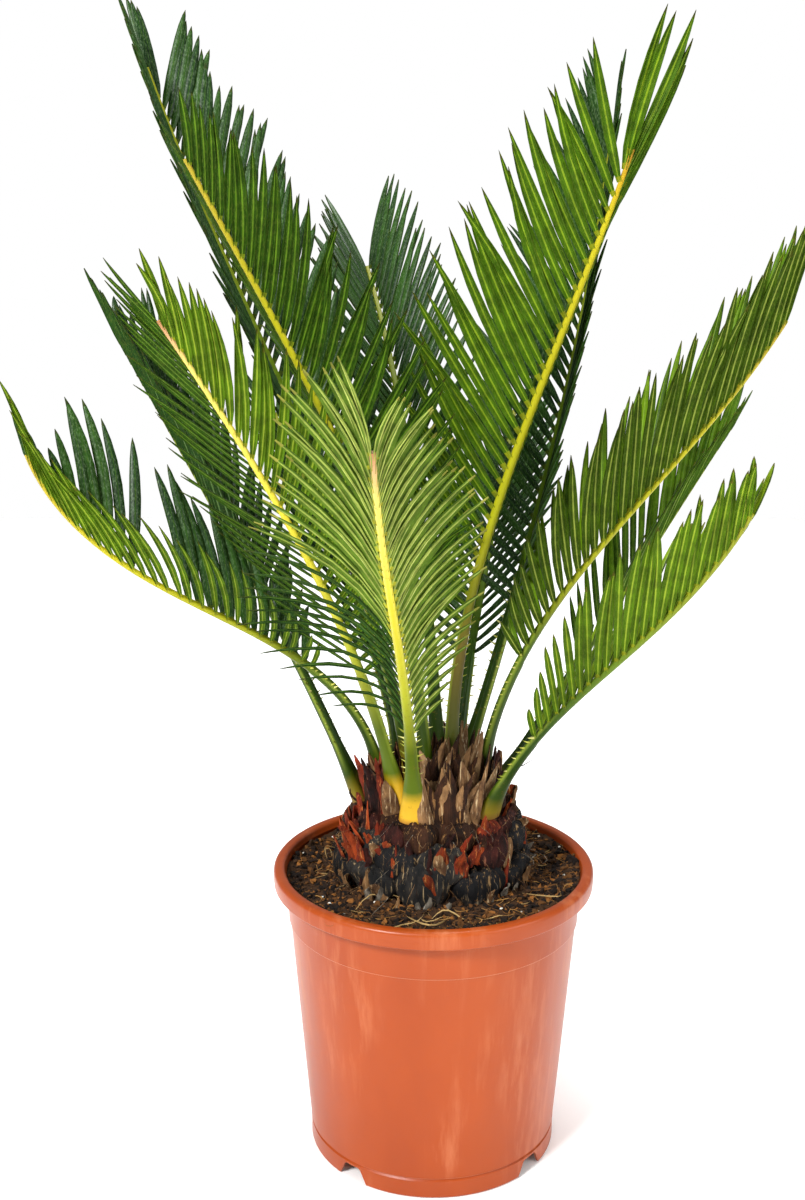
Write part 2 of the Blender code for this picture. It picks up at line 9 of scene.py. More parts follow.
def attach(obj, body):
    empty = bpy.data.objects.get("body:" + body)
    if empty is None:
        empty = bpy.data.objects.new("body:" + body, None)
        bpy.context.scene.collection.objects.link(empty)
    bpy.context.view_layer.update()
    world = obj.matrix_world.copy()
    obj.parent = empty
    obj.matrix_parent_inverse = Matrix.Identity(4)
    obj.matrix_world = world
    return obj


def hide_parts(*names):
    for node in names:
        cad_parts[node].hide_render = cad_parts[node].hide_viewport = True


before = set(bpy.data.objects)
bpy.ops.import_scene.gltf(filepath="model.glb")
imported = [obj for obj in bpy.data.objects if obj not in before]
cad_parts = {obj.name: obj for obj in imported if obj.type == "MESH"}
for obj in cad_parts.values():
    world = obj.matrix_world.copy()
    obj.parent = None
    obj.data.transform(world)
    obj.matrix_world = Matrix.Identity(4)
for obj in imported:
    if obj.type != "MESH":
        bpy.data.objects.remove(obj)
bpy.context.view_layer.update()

for name in ("Cube", "Light", "Camera"):    # the start-up file's own things
    if name in bpy.data.objects:
        bpy.data.objects.remove(bpy.data.objects[name])


# helpers

def toLinear(hexColour):
    parts = [int(hexColour[n:n + 2], 16) / 255 for n in (1, 3, 5)]
    return (*(p / 12.92 if p <= 0.04045 else ((p + 0.055) / 1.055) ** 2.4 for p in parts), 1.0)


def setInputs(tree, node, **inputs):
    # inputs are sockets to link from, or plain values; "_" stands for a space, and n6 is socket number 6
    for key, value in inputs.items():
        numbered = key[0] == "n" and key[1:].isdigit()
        socket = node.inputs[int(key[1:]) if numbered else key.replace("_", " ")]
        if isinstance(value, bpy.types.NodeSocket):
            tree.links.new(value, socket)
        else:
            socket.default_value = value


def addNode(tree, kind, settings=None, stops=(), **inputs):
    # stops are a colour ramp's places, each with a hex colour or a grey level
    node = tree.nodes.new(kind)
    for key, value in (settings or {}).items():
        setattr(node, key, value)
    setInputs(tree, node, **inputs)
    if stops:
        elements = node.color_ramp.elements
        while len(elements) < len(stops):
            elements.new(0.5)
        for element, (place, colour) in zip(elements, stops):
            element.position = place
            element.color = toLinear(colour) if isinstance(colour, str) else (colour, colour, colour, 1.0)
    return node


def newMaterial(name, **values):
    material = bpy.data.materials.new(name)
    material.use_nodes = True
    shader = material.node_tree.nodes["Principled BSDF"]
    setInputs(material.node_tree, shader, **values)
    return material, material.node_tree, shader


def addPattern(tree, blob, stretch=(1, 1, 1), detail=4.0, rough=0.55):
    # noise over Object coordinates, which are metres; its blobs are that many millimetres across
    place = addNode(tree, "ShaderNodeTexCoord").outputs["Object"]
    moved = addNode(tree, "ShaderNodeMapping", Vector=place, Scale=stretch).outputs["Vector"]
    made = addNode(tree, "ShaderNodeTexNoise", Vector=moved, Scale=1000 / blob, Detail=detail,
                   Roughness=rough)
    return made.outputs["Fac"]


def pickAll(item, mode="EDIT"):
    # selects this item alone, and in edit mode its whole mesh
    bpy.ops.object.select_all(action="DESELECT")
    bpy.context.view_layer.objects.active = item
    item.select_set(True)
    if mode == "EDIT":
        bpy.ops.object.mode_set(mode="EDIT")
        bpy.ops.mesh.select_all(action="SELECT")


def endEdit():
    bpy.ops.object.mode_set(mode="OBJECT")


def shadeSmooth(item, degrees):
    pickAll(item, "OBJECT")
    bpy.ops.object.shade_smooth_by_angle(angle=math.radians(degrees))


def shapeOf(item):
    # a modelled template as points and faces; its object goes
    points = np.array([vert.co for vert in item.data.vertices])
    faces = [tuple(face.vertices) for face in item.data.polygons]
    bpy.data.objects.remove(item)
    return points, faces


def polar(radius, angle):
    return radius * math.cos(angle), radius * math.sin(angle)


def stepUp(value, start, width):
    # 0 up to start, 1 from start plus width on, and even between them
    return min(max((value - start) / width, 0.0), 1.0)


def tubeFaces(rings, sides):
    # faces along rings of points, with both ends closed; they point out where the rings run anticlockwise
    faces = []
    for first in range(0, (rings - 1) * sides, sides):
        for side in range(sides):
            after = (side + 1) % sides
            faces.append((first + side, first + after, first + sides + after, first + sides + side))
    faces.append(tuple(reversed(range(sides))))
    faces.append(tuple((rings - 1) * sides + side for side in range(sides)))
    return faces


def newItem(name, points, edges, faces):
    mesh = bpy.data.meshes.new(name)
    mesh.from_pydata([tuple(point) for point in points], edges, faces)
    item = bpy.data.objects.new(name, mesh)
    bpy.context.collection.objects.link(item)
    return item


def pieceFrom(name, points, faces, materials, kinds=None, smooth=None):
    item = newItem(name, points, [], faces)
    for material in materials:
        item.data.materials.append(material)
    if kinds is not None:
        item.data.polygons.foreach_set("material_index", kinds)
    item.data.update()
    if smooth is not None:
        shadeSmooth(item, smooth)
    return item


def joinCopies(name, shapes, copies, materials, smooth=None):
    # copies are (shape number, 4x4 matrix, material number)
    points, faces, kinds = [], [], []
    for number, matrix, kind in copies:
        shapePoints, shapeFaces = shapes[number]
        place = np.array(matrix)
        start = len(points)
        points.extend(shapePoints @ place[:3, :3].T + place[:3, 3])
        faces.extend(tuple(start + n for n in face) for face in shapeFaces)
        kinds.extend([kind] * len(shapeFaces))
    return pieceFrom(name, points, faces, materials, kinds, smooth)


def finishPiece(item, slot, *nodes):
    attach(item, "root")
    if nodes:
        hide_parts(*nodes)


# pot

pot = {
    "height": 0.158, "rimRadius": 0.085, "rimDepth": 0.0095, "bandRadius": 0.0772, "bandBottom": 0.129,
    "bandStep": 0.0008, "footRadius": 0.0667, "footHeight": 0.0108, "wall": 0.0017, "floor": 0.002,
    "centreFoot": 0.020, "sides": 192,
    # radii: corner of the floor, throat under the rim, its inner and outer lip, its lower edge, the fillet
    # below, and the edges of the band and the foot
    "corner": 0.002, "throat": 0.003, "innerLip": 0.0021, "outerLip": 0.0026, "rimEdge": 0.0010,
    "fillet": 0.0012, "edge": 0.0006,
    # four notches through the foot ring
    "notchAzimuths": (-130, -40, 50, 140), "notchBottom": 0.0195, "notchTop": 0.0100, "notchHeight": 0.0084,
    "notchRadius": 0.0645, "notchDepth": 0.014, "notchBelow": 0.001, "notchRound": 0.0012,
    "colour": "#a44614", "shade": "#983e11", "scuffAndSheen": "#dc9066", "seam": "#dc9470",
    # patterns in mm: slow shifts of tone, scuffs that are also painted reflections, the patches where they
    # show, flow waves and skin grain
    "clouds": 55.56, "scuffAndSheenStreaks": 9.091, "scuffAndSheenPatches": 41.67, "waves": 33.33, "grain": 0.7143,
}


def wallRadius(height):
    share = (height - pot["footHeight"]) / (pot["bandBottom"] - pot["footHeight"])
    return pot["footRadius"] + (pot["bandRadius"] - pot["bandStep"] - pot["footRadius"]) * share


def arc(centre, radius, first, last, count):
    steps = [math.radians(first + (last - first) * n / (count - 1)) for n in range(count)]
    return [(centre[0] + radius * math.cos(a), centre[1] + radius * math.sin(a)) for a in steps]


def potProfile():
    # radius and height, from the middle of the floor up the inside, over the rim and down to the underside
    top, rimBottom = pot["height"], pot["height"] - pot["rimDepth"]
    band, foot, high = pot["bandRadius"], pot["footRadius"], pot["footHeight"]
    rim, wall, step = pot["rimRadius"], pot["wall"], pot["bandBottom"]
    corner, throat, inner, outer = pot["corner"], pot["throat"], pot["innerLip"], pot["outerLip"]
    low, fillet, edge = pot["rimEdge"], pot["fillet"], pot["edge"]
    floorTop = high + pot["floor"]
    points = [(0.0, floorTop), (wallRadius(floorTop) - wall - corner, floorTop)]
    points += arc((wallRadius(floorTop + corner) - wall - corner, floorTop + corner), corner, -75, 0, 5)
    points += [(wallRadius(step) - wall, step), (band + 0.001 - wall, rimBottom - 0.002)]
    points += arc((rim - 0.0063 - throat, top - 2 * throat), throat, 0, 35, 4)
    points += arc((rim - 2 * inner, top - inner), inner, 180, 90, 6)
    points += arc((rim - outer, top - outer), outer, 88, 5, 7)
    points += [(rim, rimBottom + 0.003), (rim - 0.0002, rimBottom + 0.0012)]
    points += arc((rim - 0.0002 - low, rimBottom + low), low, -10, -85, 4)
    points += [(band + 0.0022, rimBottom)]
    points += arc((band + 0.0022, rimBottom - fillet), fillet, 95, 178, 4)
    points += [(band + 0.0006, rimBottom - 0.006), (band, step + 0.0010)]
    points += arc((band - edge, step + edge), edge, -5, -80, 4)
    points += [(wallRadius(step), step - 0.0002)]
    for height in (step - 0.002, step * 0.66, step * 0.33, high + 0.0015):
        points.append((wallRadius(height), height))
    points += [(foot + 0.0002, high + 0.0006), (foot - 0.0008, high), (foot - 0.0008, high - 0.0006)]   # seam
    points += [(foot, high - 0.0014), (foot, 0.0008)]
    points += arc((foot - edge, edge), edge, 0, -90, 4)
    points += [(foot - wall + 0.0004, 0.0), (foot - wall, 0.0004), (foot - wall, high)]
    points += [(pot["centreFoot"] + 0.002, high), (pot["centreFoot"], 0.0), (0.0, 0.0)]
    return points


def potPlastic():
    # injection-moulded polypropylene: satin orange skin, faint flow lines and paler rubbed scuffs, which also
    # paint the lamps' reflections
    material, tree, shader = newMaterial("pot_polypropylene", Roughness=0.34, IOR=1.49,
                                         Specular_IOR_Level=0.30)
    base = addNode(tree, "ShaderNodeValToRGB", stops=((0.35, pot["shade"]), (0.65, pot["colour"])),
                   Fac=addPattern(tree, pot["clouds"], (1, 1, 0.5), 3)).outputs["Color"]
    rubbedSheen = addNode(tree, "ShaderNodeValToRGB", stops=((0.48, 0.0), (0.70, 0.30)),
                     Fac=addPattern(tree, pot["scuffAndSheenStreaks"], (1, 1, 0.12), 6, 0.65)).outputs["Color"]
    sheenPatch = addNode(tree, "ShaderNodeValToRGB", stops=((0.48, 0.0), (0.60, 1.0)),
                    Fac=addPattern(tree, pot["scuffAndSheenPatches"], (1, 1, 0.4), 3)).outputs["Color"]
    mask = addNode(tree, "ShaderNodeMath", {"operation": "MULTIPLY"}, n0=rubbedSheen, n1=sheenPatch).outputs[0]
    # pale streaks mixed into the colour: scuffs, and a painted reflection of the lamps
    colour = addNode(tree, "ShaderNodeMix", {"data_type": "RGBA"},
                     n0=mask, n6=base, n7=toLinear(pot["scuffAndSheen"])).outputs[2]
    place = addNode(tree, "ShaderNodeTexCoord").outputs["Object"]
    height = addNode(tree, "ShaderNodeSeparateXYZ", Vector=place).outputs["Z"]
    for level in (pot["footHeight"], pot["bandBottom"]):    # a paler line along each seam
        near = addNode(tree, "ShaderNodeMapRange", Value=height,
                       From_Min=level - 0.002, From_Max=level + 0.002).outputs["Result"]
        line = addNode(tree, "ShaderNodeValToRGB", Fac=near,
                       stops=((0.38, 0.0), (0.46, 0.45), (0.56, 0.45), (0.64, 0.0))).outputs["Color"]
        colour = addNode(tree, "ShaderNodeMix", {"data_type": "RGBA"},
                         n0=line, n6=colour, n7=toLinear(pot["seam"])).outputs[2]
    rough = addNode(tree, "ShaderNodeMapRange", Value=mask, To_Min=0.30, To_Max=0.52).outputs["Result"]
    waves = addNode(tree, "ShaderNodeBump", Height=addPattern(tree, pot["waves"], (1, 1, 0.35), 1),
                    Strength=0.25, Distance=0.004).outputs["Normal"]
    grain = addNode(tree, "ShaderNodeBump", Height=addPattern(tree, pot["grain"], detail=2),
                    Strength=0.10, Distance=0.0003, Normal=waves).outputs["Normal"]
    setInputs(tree, shader, Base_Color=colour, Roughness=rough, Normal=grain)
    return material


def makeNotchCutter(azimuth):
    # a block across the foot ring, narrower at its top
    bpy.ops.mesh.primitive_cube_add(size=1)
    cutter = bpy.context.object
    wide, tall = pot["notchBottom"], pot["notchHeight"] + pot["notchBelow"]
    slope = pot["notchTop"] / wide
    for vert in cutter.data.vertices:
        narrow = slope if vert.co.z > 0 else 1.0
        out = pot["notchRadius"] + vert.co.x * pot["notchDepth"]
        spot = Vector((out, vert.co.y * wide * narrow, (vert.co.z + 0.5) * tall - pot["notchBelow"]))
        vert.co = Matrix.Rotation(math.radians(azimuth), 3, "Z") @ spot
    pickAll(cutter)
    bpy.ops.mesh.bevel(offset=pot["notchRound"], segments=3, affect="EDGES")
    endEdit()
    return cutter


def makePot():
    profile = potProfile()
    edges = [(n, n + 1) for n in range(len(profile) - 1)]
    item = newItem("pot_shell", [(radius, 0.0, height) for radius, height in profile], edges, [])
    pickAll(item)
    bpy.ops.mesh.spin(steps=pot["sides"], angle=math.tau, center=(0, 0, 0), axis=(0, 0, 1))
    bpy.ops.mesh.select_all(action="SELECT")
    bpy.ops.mesh.remove_doubles(threshold=0.00002)
    bpy.ops.mesh.normals_make_consistent(inside=False)
    endEdit()
    for azimuth in pot["notchAzimuths"]:
        cutter = makeNotchCutter(azimuth)
        cut = item.modifiers.new("notch", "BOOLEAN")
        cut.operation = "DIFFERENCE"
        cut.object = cutter
        pickAll(item, "OBJECT")
        bpy.ops.object.modifier_apply(modifier="notch")
        bpy.data.objects.remove(cutter)
    item.data.materials.clear()
    item.data.materials.append(potPlastic())
    shadeSmooth(item, 32)
    finishPiece(item, "pot_plastic", "pot")
    print("pot made")


makePot()


# soil

soil = {
    "level": 0.1502, "innerRadius": 0.030, "edgeRadius": 0.0780, "edgeDepth": 0.006, "wallGap": 0.0004,
    "floorGap": 0.0003, "sides": 220, "rings": 78,
    # the surface: it falls outwards, tilts to one side, is heaped round the trunk and rises along the pot's
    # wall; a zone is where a change starts and how wide it is
    "fall": 0.0022, "fallZone": (0.050, 0.020), "tilt": 0.0014, "tiltZone": (0.0, 0.05), "highSide": -50,
    "heap": 0.0046, "heapRadius": 0.044, "heapWidth": 0.013, "heapFront": 0.4,
    "edgeRise": 0.0056, "edgeZone": (0.058, 0.019),
    "relief": 0.0018, "lumpsPerMetre": 75, "fineRelief": 0.0005, "grainsPerMetre": 420,
    # what lies on it: how many, radii that it lies between, sizes
    "crumbs": 3600, "crumbRadii": (0.044, 0.0772), "crumbSize": 0.0004, "crumbGrowth": 0.0016,
    "lumpShapes": 5,
    "fibres": 420, "fibreRadii": (0.0475, 0.0765), "fibreLengths": (0.004, 0.014), "threadShapes": 6,
    "fibreThickness": (0.0002, 0.0005),
    "straws": 13, "strawRadii": (0.050, 0.066), "strawLengths": (0.008, 0.018),
    "strawThickness": (0.0003, 0.0006),
    "grit": 30, "gritSizes": (0.0004, 0.0010),
    "ground": ("#22140a", "#4a3018"),
    "crumbColours": ("#140b06", "#21140b", "#3a2411", "#5c3a19", "#8a5826"),
    "fibreColours": ("#4a3018", "#7d5226", "#ae8044"),
    "strawColours": ("#a98a55", "#b99a63"), "gritColours": ("#dcd8cc", "#f3f1ea"),
    "tones": 3.846, "grains": 0.6667,     # patterns in mm
    # long roots: azimuth, radius, way they point, length, thickness
    "roots": ((-118, 0.051, 20, 0.034, 0.0009), (-100, 0.055, -12, 0.030, 0.0008),
              (-108, 0.060, 24, 0.026, 0.0006), (-92, 0.059, 2, 0.024, 0.0011),
              (-82, 0.061, 8, 0.021, 0.0010), (-125, 0.056, 65, 0.022, 0.0006),
              (-112, 0.066, -4, 0.028, 0.0006), (-24, 0.063, 24, 0.026, 0.0008),
              (150, 0.062, 70, 0.024, 0.0007), (60, 0.064, -20, 0.022, 0.0006)),
}


def soilLevel(x, y):
    radius, angle = math.hypot(x, y), math.atan2(y, x)
    fall = soil["fall"] * stepUp(radius, *soil["fallZone"])
    lean = soil["tilt"] * math.cos(angle - math.radians(soil["highSide"])) * stepUp(radius, *soil["tiltZone"])
    front = soil["heapFront"]
    heap = soil["heap"] * math.exp(-((radius - soil["heapRadius"]) / soil["heapWidth"]) ** 2)
    heap *= 1 - front - front * math.sin(angle)
    heap += soil["edgeRise"] * stepUp(radius, *soil["edgeZone"]) ** 1.5
    rough = noise.fractal(Vector((x, y, 0.0)) * soil["lumpsPerMetre"], 0.7, 2.2, 5) * soil["relief"] + heap
    fine = noise.noise(Vector((x, y, 3.0)) * soil["grainsPerMetre"]) * soil["fineRelief"]
    return soil["level"] - fall + lean + rough + fine


def soilMaterial(name, dark, light, roughness=0.95):
    # damp peat: dark matt crumb, each grain a little different
    material, tree, shader = newMaterial(name, Roughness=roughness, IOR=1.38)
    tone = addNode(tree, "ShaderNodeValToRGB", stops=((0.35, dark), (0.68, light)),
                   Fac=addPattern(tree, soil["tones"], detail=5, rough=0.7)).outputs["Color"]
    grain = addNode(tree, "ShaderNodeBump", Height=addPattern(tree, soil["grains"], rough=0.7),
                    Strength=0.6, Distance=0.0006).outputs["Normal"]
    setInputs(tree, shader, Base_Color=tone, Normal=grain)
    return material


def makeLump(seed, detail, squash):
    bpy.ops.mesh.primitive_ico_sphere_add(subdivisions=detail, radius=1)
    item = bpy.context.object
    for vert in item.data.vertices:
        vert.co *= 1 + 0.55 * noise.noise(vert.co * 1.3 + Vector((seed * 7.1, 0, 0)))
        vert.co.z *= squash
    return shapeOf(item)


def makeThread(seed, bend):
    # a curved four-sided thread: its line at one unit long, and its skin at one unit thick
    segments, sides = 7, 4
    points = []
    for ring in range(segments + 1):
        share = ring / segments
        side = bend * math.sin(math.pi * share * 1.3 + seed) * 0.3
        thick = 0.5 * (1 - 0.7 * abs(2 * share - 1) ** 3)
        for corner in range(sides):
            line = (share - 0.5, side, 0.12 * math.sin(5 * share + seed * 2))
            points.append((*Vector(line), 0.0, *polar(thick, math.tau * corner / sides)))
    return np.array(points), tubeFaces(segments + 1, sides)


def joinThreads(name, threads, copies, materials):
    # copies are (thread number, matrix, length, thickness, material number)
    shapes, places = [], []
    for number, matrix, length, thick, kind in copies:
        points, faces = threads[number]
        places.append((len(shapes), matrix, kind))
        shapes.append((points[:, :3] * length + points[:, 3:] * thick, faces))
    return joinCopies(name, shapes, places, materials, 60)


def soilSpot(chance, inner, outer):
    angle = chance.uniform(0, math.tau)
    return polar(math.sqrt(chance.uniform(inner ** 2, outer ** 2)), angle)


def onSoil(x, y, lift, heading=0.0):
    return Matrix.Translation((x, y, soilLevel(x, y) + lift)) @ Matrix.Rotation(heading, 4, "Z")


def makeSoilBed():
    floor = pot["footHeight"] + pot["floor"] + soil["floorGap"]
    edge = soil["level"] - soil["edgeDepth"]
    fit = pot["wall"] + soil["wallGap"]
    inner, outer, rings, sides = soil["innerRadius"], soil["edgeRadius"], soil["rings"], soil["sides"]
    angles = [math.tau * side / sides for side in range(sides)]
    points = []
    for ring in range(rings):
        spots = [polar(inner + (outer - inner) * ring / (rings - 1), angle) for angle in angles]
        points += [(x, y, soilLevel(x, y)) for x, y in spots]
    for height in (edge, floor):    # down the pot's wall
        points += [(*polar(wallRadius(height) - fit, angle), height) for angle in angles]
    faces = [(face[0], *face[:0:-1]) for face in tubeFaces(rings + 2, sides)]   # turned, as its rings run down
    item = pieceFrom("soil_bed", points, faces, [soilMaterial("soil_peat", *soil["ground"])], smooth=60)
    finishPiece(item, "potting_soil", "soil")


def makeCrumbs(chance):
    copies = []
    for number in range(soil["crumbs"]):
        x, y = soilSpot(chance, *soil["crumbRadii"])
        size = soil["crumbSize"] + soil["crumbGrowth"] * chance.random() ** 3
        axis = (chance.gauss(0, 1), chance.gauss(0, 1), chance.gauss(0, 1))
        turn = Quaternion(axis, chance.uniform(0, 6)).to_matrix().to_4x4()
        place = onSoil(x, y, size * 0.3) @ turn @ Matrix.Diagonal((size * 1.3, size, size * 0.9, 1))
        copies.append((number % soil["lumpShapes"], place, min(int(chance.random() ** 1.4 * 5), 4)))
    lumps = [makeLump(n, 1, 0.75) for n in range(soil["lumpShapes"])]
    kinds = [soilMaterial(f"soil_crumb_{n}", colour, colour) for n, colour in enumerate(soil["crumbColours"])]
    finishPiece(joinCopies("soil_crumbs", lumps, copies, kinds), "potting_soil")


def makeFibres(chance):
    # short fibres, pale straws and long roots
    shapes, straw = soil["threadShapes"], len(soil["fibreColours"])
    copies = []
    for number in range(soil["fibres"]):
        x, y = soilSpot(chance, *soil["fibreRadii"])
        length = chance.uniform(*soil["fibreLengths"])
        place = onSoil(x, y, 0.0006, chance.uniform(0, math.tau))
        place = place @ Matrix.Rotation(chance.gauss(0, 0.12), 4, "Y")
        thick = chance.uniform(*soil["fibreThickness"])
        copies.append((number % shapes, place, length, thick, chance.choice((0, 0, 1, 1, 2))))
    for number in range(soil["straws"]):
        x, y = soilSpot(chance, *soil["strawRadii"])
        place = onSoil(x, y, 0.0012, chance.uniform(0, math.tau))
        length = chance.uniform(*soil["strawLengths"])
        copies.append((number % shapes, place, length, chance.uniform(*soil["strawThickness"]), straw))
    for number, (azimuth, radius, way, length, thick) in enumerate(soil["roots"]):
        place = onSoil(*polar(radius, math.radians(azimuth)), 0.0018, math.radians(way))
        copies.append((number % 4, place, length, thick, straw))
    threads = [makeThread(n, 0.6 + 0.5 * n) for n in range(shapes)]
    kinds = [soilMaterial(f"soil_fibre_{n}", colour, colour, 0.8)
             for n, colour in enumerate(soil["fibreColours"])]
    kinds.append(soilMaterial("soil_straw", *soil["strawColours"], 0.7))
    finishPiece(joinThreads("soil_fibres", threads, copies, kinds), "potting_soil")


def makeGrit(chance):
    # white perlite
    copies = []
    for number in range(soil["grit"]):
        x, y = soilSpot(chance, *soil["fibreRadii"])
        size = chance.uniform(*soil["gritSizes"])
        place = onSoil(x, y, size * 0.4) @ Matrix.Diagonal((size, size, size, 1))
        copies.append((number % soil["lumpShapes"], place, 0))
    lumps = [makeLump(n, 2, 0.8) for n in range(soil["lumpShapes"])]
    perlite = soilMaterial("soil_perlite", *soil["gritColours"])
    finishPiece(joinCopies("soil_grit", lumps, copies, [perlite]), "potting_soil")


def makeSoil():
    chance = random.Random(5)
    makeSoilBed()
    makeCrumbs(chance)
    makeFibres(chance)
    makeGrit(chance)
    print("soil made")


makeSoil()
